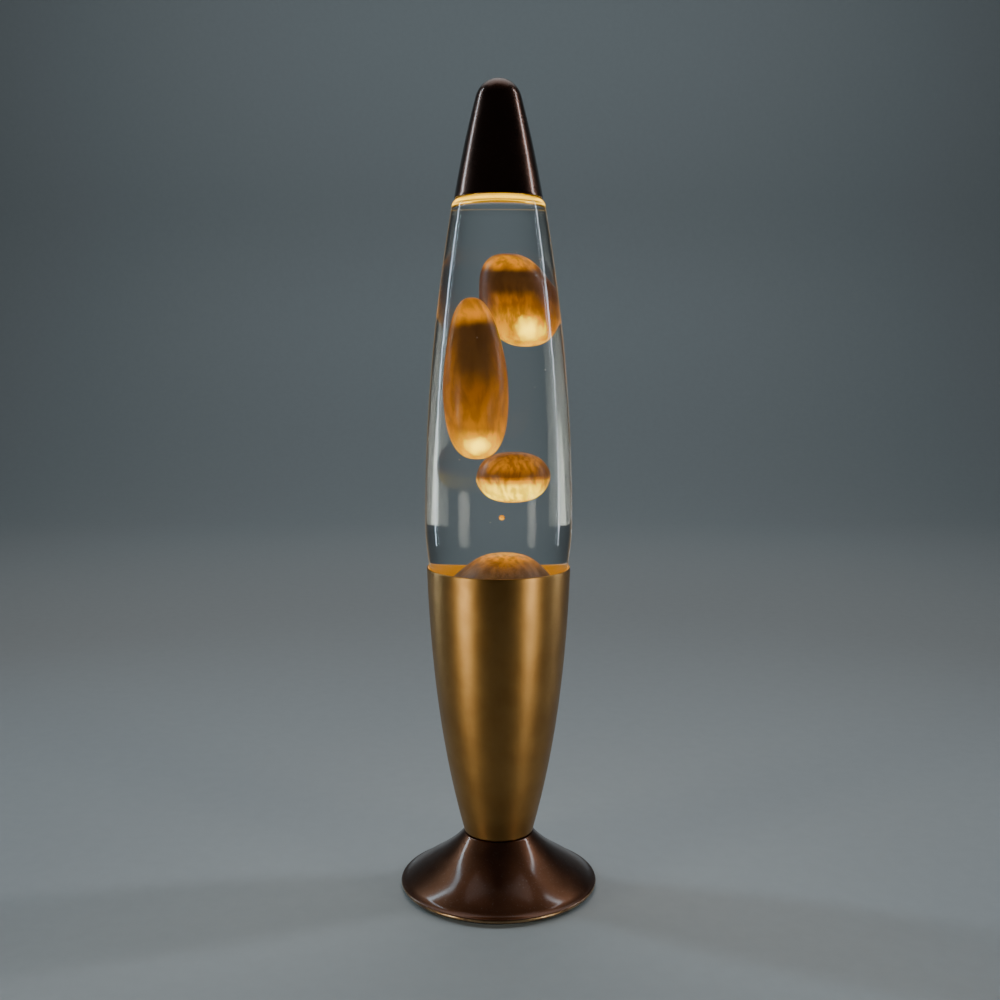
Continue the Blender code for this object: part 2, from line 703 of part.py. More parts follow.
def make_wax_pool():
    """The wax that lies in the bottom of the bottle, with a groove underneath for the heating coil."""
    inside = inside_bottle()
    past_floor = BOTTLE_FLOOR_RADIUS - MM
    below_edge = [point for point in inside if point[1] < POOL_EDGE_Z and point[0] > past_floor]
    floor_z = BOTTLE_FLOOR_Z + GLASS + GAP
    half_groove = COIL_TURN_RADIUS + COIL_WIRE_RADIUS + 0.4 * MM
    groove_top = floor_z + 2 * half_groove
    groove = [
        (COIL_RING_RADIUS + half_groove, floor_z),
        (COIL_RING_RADIUS + half_groove, groove_top),
        (COIL_RING_RADIUS - half_groove, groove_top),
        (COIL_RING_RADIUS - half_groove, inside[1][1] + 0.2 * MM),
    ]
    pool = turned("wax_pool", pool_top() + below_edge[::-1] + groove + [inside[0]], AMBER_WAX)
    lean_pool(pool)
    return pool


def make_heating_coil():
    """A closed ring of coiled wire, whose centre line winds round a circle on the bottle's floor."""
    count = COIL_TURNS * COIL_POINTS_PER_TURN
    around = np.linspace(0, 2 * math.pi, count, endpoint=False)
    wind = COIL_TURNS * around
    reach = COIL_RING_RADIUS + COIL_TURN_RADIUS * np.cos(wind)
    centre_z = BOTTLE_FLOOR_Z + GLASS + GAP + COIL_TURN_RADIUS + COIL_WIRE_RADIUS
    height = centre_z + COIL_TURN_RADIUS * np.sin(wind)
    points = np.stack([reach * np.cos(around), reach * np.sin(around), height], axis=1)
    return wire("heating_coil", [tuple(point) for point in points], COIL_WIRE_RADIUS, STEEL, closed=True)


def make_liquid():
    """The clear liquid over the wax pool, with a pocket for each blob of wax.

    A hairline runs from each pocket to the top of the liquid, so that no pocket is a sealed hollow.
    """
    low, high = POOL_EDGE_Z + 2 * MM, LIQUID_TOP_Z - MM
    wall = [point for point in inside_bottle() if low < point[1] < high and point[0] > 0]
    bottom = [(radius, height + GAP) for radius, height in pool_top()]
    rim = (fill_radius(LIQUID_TOP_Z), LIQUID_TOP_Z)
    liquid = turned("liquid", [(0, LIQUID_TOP_Z), rim] + wall[::-1] + bottom[::-1], CLEAR_LIQUID)
    lean_pool(liquid)
    for name, blob in BLOBS.items():
        pocket = blob_mesh(f"{name}_pocket", blob, None, grow=GAP, stem_top=LIQUID_TOP_Z + MM)
        cut(liquid, pocket)
    return liquid


# ---------------------------------------------------------------- cap


def make_cap():
    """The cone that covers the closure and rests on the bottle's shoulder, with a domed tip."""
    dome_centre = (0, CAP_TIP_Z - CAP_DOME_RADIUS)
    dome = arc(dome_centre, CAP_DOME_RADIUS, 90, 13, 4)
    dome[0] = (0, CAP_TIP_Z)
    cone = ease_up(dome[-1], (CAP_RIM_RADIUS, CAP_RIM_Z), -0.27, -0.175, 4)[1:]
    outside = dome + cone
    return turned("top_cap", outside + offset(outside, -SHEET)[::-1], BROWN_LACQUER)


def main():
    """Build the lamp and group its pieces by what moves together."""
    clear_scene()
    base = [make_foot(), make_cord_inlet(), make_base_cover(), make_pad(), make_body()]
    base += make_cover_screws() + make_clamp() + make_lampholder()
    root = hang_from(base, "base")
    bulb_rise = hang_from([make_bulb_tip()], "bulb_rise_axis", BULB_TIP_Z, parent=root)
    hang_from(make_bulb(), "bulb_turn_axis", BULB_CAP_Z, parent=bulb_rise)
    held = [make_glass(), make_wax_pool(), make_heating_coil(), make_liquid()] + make_closure()
    bottle = hang_from(held, "bottle_lift_axis", BOTTLE_FLOOR_Z, parent=root)
    hang_from([make_cap()], "cap_lift_axis", CAP_RIM_Z, parent=bottle)
    for name, blob in BLOBS.items():
        x, y, z = (value * MM for value in blob.middle)
        hang_from([blob_mesh(name, blob, AMBER_WAX)], f"{name}_axis", z, place=(x, y), parent=bottle)


main()
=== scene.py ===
"""Liquid motion lamp: its finished surfaces, its materials and a plain studio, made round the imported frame.

Units are metres and +Z is up. The lamp stands on Z = 0 with its axis on the Z axis, and its front is -Y.
Nearly every piece is turned about that axis, so most shapes here are an outline, given as (radius, height)
pairs, carried round the axis.
"""

import logging
import math
from dataclasses import dataclass
from enum import Enum
from functools import lru_cache

import bmesh
import bpy
import numpy as np
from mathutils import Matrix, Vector


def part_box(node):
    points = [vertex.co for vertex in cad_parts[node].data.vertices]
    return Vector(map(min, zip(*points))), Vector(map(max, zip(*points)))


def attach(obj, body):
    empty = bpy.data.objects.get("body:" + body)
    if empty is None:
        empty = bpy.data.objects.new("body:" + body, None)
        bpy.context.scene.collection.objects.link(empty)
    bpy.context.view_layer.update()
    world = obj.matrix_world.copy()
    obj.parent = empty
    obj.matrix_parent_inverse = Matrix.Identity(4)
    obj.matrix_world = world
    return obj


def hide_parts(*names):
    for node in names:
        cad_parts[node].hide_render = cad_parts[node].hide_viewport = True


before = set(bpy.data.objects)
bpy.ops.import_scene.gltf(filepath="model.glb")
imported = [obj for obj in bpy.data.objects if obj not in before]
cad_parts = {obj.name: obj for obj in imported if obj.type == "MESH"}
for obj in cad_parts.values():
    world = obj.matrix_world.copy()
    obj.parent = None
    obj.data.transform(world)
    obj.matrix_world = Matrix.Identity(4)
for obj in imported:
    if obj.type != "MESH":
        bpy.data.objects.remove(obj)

log = logging.getLogger("lamp")

MM = 0.001
SHARP = math.radians(38)
Array = np.ndarray
Colour = tuple[float, float, float]
Point = tuple[float, float]
Piece = bpy.types.Object
Socket = bpy.types.NodeSocket


class Body(str, Enum):
    """The bodies of the frame that the pieces ride on."""

    BASE = "base"
    BULB_FOOT = "bulb_foot"
    BULB = "bulb"
    BOTTLE = "bottle"
    CAP = "cap"
    UPPER = "upper_blob"
    TALL = "tall_blob"
    OVAL = "oval_blob"
    DROPLET = "droplet"


# ---------------------------------------------------------------- outlines, as arrays of (radius, height)


def path(*stretches: Array | list) -> Array:
    """Join stretches of an outline end to end.

    Args:
        stretches: arrays or lists of (radius, height) pairs.

    Returns:
        One array of pairs, without points that repeat the one before.
    """
    points = np.concatenate([np.atleast_2d(np.asarray(part, float)) for part in stretches])
    apart = np.linalg.norm(np.diff(points, axis=0), axis=1) > 1e-7
    return points[np.concatenate([[True], apart])]


def arc(centre: Point, radius: float, start: float, end: float, steps: int = 8) -> Array:
    """Points on a circular arc: the centre plus radius times (cos a, sin a), for a from start to end.

    Args:
        centre: the arc's centre as (radius, height).
        radius: its radius.
        start: first angle in degrees, from the outward direction towards up.
        end: last angle in degrees.
        steps: how many stretches the arc has.

    Returns:
        An array of (radius, height) pairs.
    """
    angle = np.radians(np.linspace(start, end, steps + 1))
    return np.stack([centre[0] + radius * np.cos(angle), centre[1] + radius * np.sin(angle)], axis=1)


def ease(start: tuple, end: tuple, slopes: Point, steps: int = 24) -> Array:
    """Points on the cubic y(x) that runs from start to end with a given dy/dx at each end.

    Args:
        start: first point.
        end: last point.
        slopes: dy/dx at the first and at the last point.
        steps: how many stretches the curve has.

    Returns:
        An array of points, evenly spaced in x.
    """
    s = np.linspace(0, 1, steps + 1)
    run = end[0] - start[0]
    y = (2 * s**3 - 3 * s**2 + 1) * start[1] + (s**3 - 2 * s**2 + s) * run * slopes[0]
    y = y + (3 * s**2 - 2 * s**3) * end[1] + (s**3 - s**2) * run * slopes[1]
    return np.stack([start[0] + s * run, y], axis=1)


def rise(start: tuple, end: tuple, slopes: Point, steps: int = 24) -> Array:
    """The same cubic for an outline whose radius is a function of height, with slopes in radius per height."""
    return ease(start[::-1], end[::-1], slopes, steps)[:, ::-1]


def offset(outline: Array, distance: float) -> Array:
    """The outline moved sideways, along the mitre of the two stretches that meet at each point.

    Args:
        outline: (radius, height) pairs.
        distance: how far, to the left of the outline's direction.

    Returns:
        The moved pairs. Points on the axis stay on it.
    """
    run = np.diff(outline, axis=0)
    run = run / np.linalg.norm(run, axis=1)[:, None]
    normal = np.stack([-run[:, 1], run[:, 0]], axis=1)
    mitre = np.vstack([normal[:1], normal]) + np.vstack([normal, normal[-1:]])
    mitre = mitre * 2 / np.sum(mitre**2, axis=1)[:, None]
    moved = outline + distance * mitre
    moved[outline[:, 0] < 1e-9, 0] = 0
    return moved


def radius_at(outline: Array, height: float | Array) -> float | Array:
    """The radius of an outline that only rises, at a height or at an array of heights."""
    order = np.argsort(outline[:, 1])
    return np.interp(height, outline[order, 1], outline[order, 0])


def rounded(corners: list[Point], radius: float, steps: int = 4, closed: bool = True) -> Array:
    """An outline through corners, with each one off the axis rounded.

    A rounded corner is the quadratic curve that leaves one side and meets the next at the same distance
    from the corner.

    Args:
        corners: (radius, height) pairs.
        radius: how far from a corner its round starts, at most 0.45 of the shorter side.
        steps: stretches in each round.
        closed: True if the last corner joins the first.

    Returns:
        An array of (radius, height) pairs.
    """
    points = np.asarray(corners, float)
    before, after = np.roll(points, 1, axis=0), np.roll(points, -1, axis=0)
    if not closed:
        before[0], after[-1] = points[0], points[-1]
    share = np.linspace(0, 1, steps + 1)[None, :, None]
    reach_in, reach_out = before - points, after - points
    length_in = np.linalg.norm(reach_in, axis=1, keepdims=True)
    length_out = np.linalg.norm(reach_out, axis=1, keepdims=True)
    cut = np.minimum(radius, 0.45 * np.minimum(length_in, length_out))
    cut[points[:, 0] < 1e-9] = 0
    a = points + reach_in / np.maximum(length_in, 1e-12) * cut
    b = points + reach_out / np.maximum(length_out, 1e-12) * cut
    curve = (1 - share) ** 2 * a[:, None] + 2 * share * (1 - share) * points[:, None] + share**2 * b[:, None]
    return path(curve.reshape(-1, 2))


# ---------------------------------------------------------------- surfaces


def in_scene(name: str, data: bpy.types.ID) -> Piece:
    """A new object in the scene that shows a mesh, a light or a camera."""
    thing = bpy.data.objects.new(name, data)
    bpy.context.scene.collection.objects.link(thing)
    return thing


def surface(name: str, points: Array, wrap_u: bool = False, wrap_v: bool = False, caps: bool = False) -> Piece:
    """A smooth-shaded object from a grid of points.

    Each face joins four neighbours on the grid. Points that coincide are merged afterwards, which closes
    the seams and the poles, and the faces of the closed shape are turned outwards.

    Args:
        name: the object's name.
        points: array of shape (rows, columns, 3).
        wrap_u: True if the last row joins the first.
        wrap_v: True if the last column joins the first.
        caps: True to close the first and the last row with a flat face each.

    Returns:
        The new object, linked to the scene.
    """
    rows, columns = points.shape[:2]
    index = np.arange(rows * columns).reshape(rows, columns)
    u = np.arange(rows if wrap_u else rows - 1)
    v = np.arange(columns if wrap_v else columns - 1)
    near, far = index[u], index[(u + 1) % rows]
    right = (v + 1) % columns
    faces = np.stack([near[:, v], near[:, right], far[:, right], far[:, v]], axis=-1).reshape(-1, 4)
    mesh = bpy.data.meshes.new(name)
    mesh.vertices.add(rows * columns)
    mesh.vertices.foreach_set("co", points.astype(np.float32).ravel())
    mesh.loops.add(faces.size)
    mesh.loops.foreach_set("vertex_index", faces.astype(np.int32).ravel())
    mesh.polygons.add(len(faces))
    mesh.polygons.foreach_set("loop_start", np.arange(0, faces.size, 4, dtype=np.int32))
    mesh.update(calc_edges=True)
    shape = bmesh.new()
    shape.from_mesh(mesh)
    shape.verts.ensure_lookup_table()
    if caps:
        for row in (index[0], index[-1]):
            shape.faces.new([shape.verts[i] for i in row])
    bmesh.ops.remove_doubles(shape, verts=shape.verts, dist=1e-6)
    bmesh.ops.dissolve_degenerate(shape, edges=shape.edges, dist=1e-7)
    bmesh.ops.recalc_face_normals(shape, faces=shape.faces)
    shape.to_mesh(mesh)
    shape.free()
    mesh.shade_smooth()
    mesh.set_sharp_from_angle(angle=SHARP)
    return in_scene(name, mesh)


def full_turn(sides: int) -> Array:
    """Angles evenly spaced round a full turn, the first of them 0."""
    return np.linspace(0, 2 * math.pi, sides, endpoint=False)


def carried(radius: Array, angle: Array, height: Array) -> Array:
    """Points (r cos a, r sin a, z), from arrays that broadcast to one shape."""
    return np.stack(np.broadcast_arrays(radius * np.cos(angle), radius * np.sin(angle), height), axis=-1)


def winding(height: Array, angle: Array, pitch: float) -> Array:
    """The cosine of (a full turn for each pitch of height, less the angle round the axis): a screw's wave."""
    return np.cos(2 * math.pi * height / pitch - angle)


def turned_points(outline: Array, sides: int, centre: Point = (0.0, 0.0)) -> Array:
    """A grid of points: each outline point (r, z) carried round to (r cos a, r sin a, z), plus a centre.

    Args:
        outline: (radius, height) pairs.
        sides: points round the axis.
        centre: where the axis stands in X and Y.

    Returns:
        Array of shape (outline points, sides, 3).
    """
    return carried(outline[:, :1], full_turn(sides), outline[:, 1:]) + np.array([*centre, 0.0])


def turned(name: str, outline: Array, sides: int = 128, centre: Point = (0.0, 0.0)) -> Piece:
    """A piece turned about a vertical axis, from an outline that is a ring or runs from axis to axis."""
    ring = outline[0, 0] > 1e-9
    return surface(name, turned_points(outline, sides, centre), wrap_u=ring, wrap_v=True)


def tube(name: str, line: Array, radius: float, sides: int = 10, closed: bool = False) -> Piece:
    """A round wire: a circle carried along a line, square to it.

    At each point the circle lies in the plane of two directions square to the line's tangent. They are found
    from a guide: +Y for an open line, and the way round the Z axis for a closed one.

    Args:
        name: the object's name.
        line: array of shape (points, 3).
        radius: the wire's radius.
        sides: points round the wire.
        closed: True if the line joins up.

    Returns:
        The new object.
    """
    ahead = np.roll(line, -1, axis=0) - np.roll(line, 1, axis=0)
    if not closed:
        ahead[0], ahead[-1] = line[1] - line[0], line[-1] - line[-2]
    ahead /= np.linalg.norm(ahead, axis=1, keepdims=True)
    guide = np.stack([-line[:, 1], line[:, 0], 0 * line[:, 0]], axis=1) if closed else np.array([[0.0, 1.0, 0.0]])
    across = np.cross(np.cross(ahead, guide), ahead) if not closed else np.cross(ahead, np.cross(guide, ahead))
    across /= np.linalg.norm(across, axis=1, keepdims=True)
    beside = np.cross(ahead, across)
    angle = full_turn(sides)[None, :, None]
    ring = np.cos(angle) * across[:, None] + np.sin(angle) * beside[:, None]
    return surface(name, line[:, None] + radius * ring, wrap_u=closed, wrap_v=True, caps=not closed)


def cut_away(piece: Piece, cutter: Piece) -> None:
    """Take a cutter's shape out of a piece, keep the result as the piece's own mesh, and drop the cutter."""
    step = piece.modifiers.new("cut", "BOOLEAN")
    step.operation = "DIFFERENCE"
    step.solver = "EXACT"
    step.object = cutter
    graph = bpy.context.evaluated_depsgraph_get()
    cut = bpy.data.meshes.new_from_object(piece.evaluated_get(graph))
    piece.modifiers.remove(step)
    piece.data = cut
    bpy.data.objects.remove(cutter)
    cut.set_sharp_from_angle(angle=SHARP)


def drill(piece: Piece, centre: Point, radius: float, low: float, high: float) -> None:
    """Cut an upright round hole in a piece, between two heights."""
    cut_away(piece, turned("hole", np.array([(0, high), (radius, high), (radius, low), (0, low)]), 32, centre))


def laid_back(piece: Piece, height: float) -> Piece:
    """Lay a piece made about the Z axis along +Y at a height: (x, y, z) goes to (x, z, height - y)."""
    mesh = piece.data
    points = np.empty(len(mesh.vertices) * 3, np.float32)
    mesh.vertices.foreach_get("co", points)
    x, y, z = points.reshape(-1, 3).T
    mesh.vertices.foreach_set("co", np.stack([x, z, height - y], axis=1).ravel())
    mesh.update()
    return piece


# ---------------------------------------------------------------- node trees


@dataclass
class Graph:
    """A node tree, with short ways to add nodes and to join them."""

    tree: bpy.types.NodeTree

    def add(self, kind: str, inputs: dict | None = None, **settings: object) -> bpy.types.Node:
        """Add a node, set its properties and fill its inputs.

        Args:
            kind: the node's type, without "ShaderNode" in front.
            inputs: socket name or number, to a value or to the output socket that feeds it.
            settings: properties of the node.

        Returns:
            The node.
        """
        node = self.tree.nodes.new("ShaderNode" + kind)
        for name, value in settings.items():
            setattr(node, name, value)
        for name, value in (inputs or {}).items():
            self.fill(node.inputs[name], value)
        return node

    def fill(self, socket: Socket, value: object) -> None:
        """Join a socket to the output that feeds it, or set its value. A colour's three numbers get an alpha of 1."""
        if isinstance(value, Socket):
            self.tree.links.new(value, socket)
        elif socket.type == "RGBA" and len(value) == 3:
            socket.default_value = (*value, 1.0)
        else:
            socket.default_value = value

    def math(self, operation: str, a: object, b: object = 0.0) -> Socket:
        """The result of one sum on two values or sockets."""
        return self.add("Math", {0: a, 1: b}, operation=operation).outputs[0]

    def times(self, a: object, b: object) -> Socket:
        """The product of two values or sockets."""
        return self.math("MULTIPLY", a, b)

    def plus(self, a: object, b: object) -> Socket:
        """The sum of two values or sockets."""
        return self.math("ADD", a, b)

    def less(self, a: object, b: object) -> Socket:
        """The first value or socket less the second."""
        return self.math("SUBTRACT", a, b)

    def length(self, a: object, b: object) -> Socket:
        """The length of the vector (a, b): the root of the sum of their squares."""
        return self.math("SQRT", self.plus(self.times(a, a), self.times(b, b)))

    def spread(self, value: object, low: float, high: float, out: tuple = (0.0, 1.0)) -> Socket:
        """A value eased from low..high to the range out, and held at its ends."""
        inputs = {"Value": value, "From Min": low, "From Max": high, "To Min": out[0], "To Max": out[1]}
        return self.add("MapRange", inputs, interpolation_type="SMOOTHSTEP").outputs[0]

    def mix(self, share: object, a: object, b: object) -> Socket:
        """A mix of two colours, from a where share is 0 to b where it is 1."""
        return self.add("Mix", {0: share, 6: a, 7: b}, data_type="RGBA").outputs[2]

    def place(self) -> Socket:
        """The point in the piece's own coordinates, which are the lamp's."""
        return self.add("TexCoord").outputs["Object"]

    def axes(self) -> tuple[Socket, Socket, Socket]:
        """That point's X, Y and Z."""
        return tuple(self.add("SeparateXYZ", {0: self.place()}).outputs)

    def noise(self, vector: object, scale: float, detail: float = 2.0, rough: float = 0.5) -> Socket:
        """A noise value from 0 to 1."""
        inputs = {"Vector": vector, "Scale": scale, "Detail": detail, "Roughness": rough}
        return self.add("TexNoise", inputs).outputs[0]

    def ramp(self, value: object, stops: list[tuple[float, Colour]]) -> Socket:
        """A colour read off a row of stops, each a place from 0 to 1 and a colour."""
        node = self.add("ValToRGB", {0: value})
        node.color_ramp.interpolation = "EASE"
        row = node.color_ramp.elements
        while len(row) < len(stops):
            row.new(0.5)
        for element, (where, colour) in zip(row, stops):
            element.position = where
            element.color = (*colour, 1.0)
        return node.outputs[0]

    def group(self, name: str, inputs: dict) -> bpy.types.Node:
        """Place a shared effect, with its inputs filled."""
        return self.add("Group", inputs, node_tree=bpy.data.node_groups[name])


def new_group(name: str, inputs: dict[str, float], outputs: list[str]) -> tuple[Graph, dict, bpy.types.Node]:
    """Start a shared effect.

    Args:
        name: the group's name.
        inputs: input name to its default value.
        outputs: names of the values that it puts out.

    Returns:
        Its graph, its inputs as sockets by name, and its output node.
    """
    tree = bpy.data.node_groups.new(name, "ShaderNodeTree")
    for key, value in inputs.items():
        tree.interface.new_socket(key, in_out="INPUT", socket_type="NodeSocketFloat").default_value = value
    for key in outputs:
        tree.interface.new_socket(key, in_out="OUTPUT", socket_type="NodeSocketFloat")
    entry = tree.nodes.new("NodeGroupInput")
    return Graph(tree), {key: entry.outputs[key] for key in inputs}, tree.nodes.new("NodeGroupOutput")


def make_spun_grain() -> None:
    """Fine lines that run round the lamp, as a spinning tool leaves them, and a slow change of tone.

    The noise is read at (cos a, sin a, height and radius), stretched far more along the last, so that it
    has no seam and its cells are long rings.
    """
    graph, given, out = new_group("spun_grain", {"Lines": 1500.0, "Depth": 1.0}, ["Height", "Tone"])
    x, y, z = graph.axes()
    radius = graph.length(x, y)
    safe = graph.math("MAXIMUM", radius, 1e-4)
    along = graph.times(graph.plus(z, radius), given["Lines"])
    turn = graph.add("CombineXYZ", {0: graph.math("DIVIDE", x, safe), 1: graph.math("DIVIDE", y, safe), 2: along})
    lines = graph.noise(turn.outputs[0], 1.0, 3.0, 0.6)
    graph.fill(out.inputs["Height"], graph.times(lines, given["Depth"]))
    graph.fill(out.inputs["Tone"], graph.noise(graph.place(), 60.0, 3.0, 0.55))


def make_handling() -> None:
    """Dust that lies on what faces up, and soft smudges, as two masks."""
    graph, given, out = new_group("handling", {"Dust": 0.3, "Smudge": 0.3}, ["Dust", "Smudge"])
    up = graph.add("SeparateXYZ", {0: graph.add("NewGeometry").outputs["Normal"]}).outputs[2]
    specks = graph.spread(graph.noise(graph.place(), 1100.0, 4.0, 0.7), 0.56, 0.72)
    lying = graph.times(specks, graph.spread(up, -0.1, 0.9, (0.15, 1.0)))
    graph.fill(out.inputs["Dust"], graph.times(lying, given["Dust"]))
    smear = graph.spread(graph.noise(graph.place(), 95.0, 5.0, 0.6), 0.45, 0.7)
    graph.fill(out.inputs["Smudge"], graph.times(smear, given["Smudge"]))


def make_height_share() -> None:
    """How far a point is from a low height to a high one, from 0 to 1, and not held at the ends."""
    graph, given, out = new_group("height_share", {"Low": 0.0, "High": 1.0, "Wander": 0.0}, ["Share"])
    z = graph.axes()[2]
    span = graph.less(given["High"], given["Low"])
    share = graph.math("DIVIDE", graph.less(z, given["Low"]), span)
    drift = graph.less(graph.noise(graph.place(), 70.0, 3.0, 0.6), 0.5)
    moved = graph.plus(share, graph.times(drift, given["Wander"]))
    graph.fill(out.inputs["Share"], moved)


def make_wax_streaks() -> None:
    """Long soft streaks in wax that has just been drawn out, and the fine wrinkles of its skin.

    The noise is read with the height squeezed, so that its cells stand on end, and bent by a slower noise.
    """
    graph, given, out = new_group("wax_streaks", {"Fineness": 1.0, "Bend": 0.006}, ["Streak", "Height"])
    bend = graph.add("TexNoise", {"Vector": graph.place(), "Scale": 60.0, "Detail": 1.0}).outputs["Color"]
    push = graph.add("VectorMath", {0: bend, 1: (0.5, 0.5, 0.5)}, operation="SUBTRACT").outputs[0]
    pushed = graph.add("VectorMath", {0: push}, operation="SCALE")
    graph.fill(pushed.inputs["Scale"], given["Bend"])
    moved = graph.add("VectorMath", {0: graph.place(), 1: pushed.outputs[0]}, operation="ADD").outputs[0]
    squeezed = graph.add("Mapping", {"Vector": moved, "Scale": (1.0, 1.0, 0.28)}).outputs[0]
    scale = graph.times(given["Fineness"], 420.0)
    graph.fill(out.inputs["Streak"], graph.noise(squeezed, scale, 3.0, 0.55))
    graph.fill(out.inputs["Height"], graph.noise(moved, graph.times(scale, 0.6)))


# ---------------------------------------------------------------- finishes


def start_material(name: str, sockets: dict) -> tuple[bpy.types.Material, Graph, bpy.types.Node]:
    """A new material with one Principled shader.

    Args:
        name: the material's name.
        sockets: constant values for the shader's sockets.

    Returns:
        The material, its graph and the shader's node.
    """
    material = bpy.data.materials.new(f"{name}_finish")
    material.use_nodes = True
    graph = Graph(material.node_tree)
    shader = graph.tree.nodes["Principled BSDF"]
    for key, value in sockets.items():
        graph.fill(shader.inputs[key], value)
    return material, graph, shader


def bump(graph: Graph, shader: bpy.types.Node, height: object, distance: float, strength: float = 1.0) -> None:
    """Feed the shader's normal from a height, whose full range stands for a distance in metres."""
    node = graph.add("Bump", {"Height": height, "Distance": distance, "Strength": strength})
    graph.fill(shader.inputs["Normal"], node.outputs[0])


@dataclass(frozen=True)
class SpunMetal:
    """Spun sheet metal with a satin finish: lines round the axis, dust, smudges, an edge band of worn lacquer that is
    also a painted highlight, and painted lamp light.
    """

    name: str
    colour: Colour
    dark: Colour
    roughness: float
    anisotropy: float = 0.5
    coat: float = 0.0
    grain: float = 1.0
    edge: Point | None = None
    worn_and_highlit_edge_colour: Colour = (0.8, 0.55, 0.25)
    glow: Point | None = None
    glow_colour: Colour = (1.0, 0.3, 0.02)

    def build(self) -> bpy.types.Material:
        """Make the material."""
        fixed = {"Anisotropic": self.anisotropy, "Anisotropic Rotation": 0.25, "Coat Weight": self.coat,
                 "Coat Roughness": 0.12, "Metallic": 1.0}
        material, graph, shader = start_material(self.name, fixed)
        spun = graph.group("spun_grain", {"Lines": 1500.0, "Depth": self.grain})
        marks = graph.group("handling", {"Dust": 0.12, "Smudge": 0.5})
        tone = graph.spread(spun.outputs["Tone"], 0.3, 0.7)
        colour = graph.mix(tone, self.dark, self.colour)
        # Edge band on the rolled rim: worn lacquer in chips, and its bright colour is also a painted highlight of the
        # rim.
        if self.edge:
            z = graph.axes()[2]
            band = graph.times(graph.spread(z, self.edge[0], self.edge[0] + 0.3 * MM),
                              graph.spread(z, self.edge[1], self.edge[1] - 0.3 * MM))
            chips = graph.spread(graph.noise(graph.place(), 120.0, 4.0, 0.7), 0.2, 0.6)
            colour = graph.mix(graph.times(band, chips), colour, self.worn_and_highlit_edge_colour)
        colour = graph.mix(marks.outputs["Dust"], colour, (0.55, 0.52, 0.48))
        graph.fill(shader.inputs["Base Color"], colour)
        rough = graph.plus(self.roughness, graph.times(marks.outputs["Smudge"], 0.12))
        rough = graph.plus(rough, graph.times(spun.outputs["Height"], 0.06))
        graph.fill(shader.inputs["Roughness"], rough)
        bump(graph, shader, spun.outputs["Height"], 0.012 * MM)
        if self.glow:
            self.add_glow(graph, shader)
        return material

    def add_glow(self, graph: Graph, shader: bpy.types.Node) -> None:
        """Paint the lamp's light on the wall's inner side as emission, where its normal faces the axis, more strongly
        towards the rim.
        """
        share = graph.group("height_share", {"Low": self.glow[0], "High": self.glow[1], "Wander": 0.05})
        x, y, _ = graph.axes()
        across = graph.add("CombineXYZ", {0: x, 1: y})
        facing = graph.add("VectorMath", {0: graph.add("NewGeometry").outputs["Normal"], 1: across.outputs[0]},
                           operation="DOT_PRODUCT").outputs["Value"]
        inside = graph.math("LESS_THAN", facing, 0.0)
        light = graph.times(inside, graph.spread(share.outputs[0], 0.0, 1.0, (0.12, 1.0)))
        graph.fill(shader.inputs["Emission Color"], graph.mix(light, (0, 0, 0), self.glow_colour))
        shader.inputs["Emission Strength"].default_value = 1.0


@dataclass(frozen=True)
class Plain:
    """A plain moulded, plated or drawn finish: mottled colour, dust, and a fine grain in the surface."""

    name: str
    colour: Colour
    roughness: float
    metallic: float = 0.0
    mottle: float = 0.25
    grain_scale: float = 900.0
    grain_depth: float = 0.01 * MM
    dust: float = 0.4

    def build(self) -> bpy.types.Material:
        """Make the material."""
        material, graph, shader = start_material(self.name, {"Metallic": self.metallic})
        marks = graph.group("handling", {"Dust": self.dust, "Smudge": 0.4})
        shade = tuple(channel * (1 - self.mottle) for channel in self.colour)
        tone = graph.spread(graph.noise(graph.place(), 130.0, 4.0, 0.6), 0.3, 0.7)
        colour = graph.mix(marks.outputs["Dust"], graph.mix(tone, shade, self.colour), (0.45, 0.43, 0.40))
        graph.fill(shader.inputs["Base Color"], colour)
        rough = graph.plus(self.roughness, graph.times(marks.outputs["Smudge"], 0.15))
        graph.fill(shader.inputs["Roughness"], rough)
        bump(graph, shader, graph.noise(graph.place(), self.grain_scale, 3.0, 0.6), self.grain_depth)
        return material


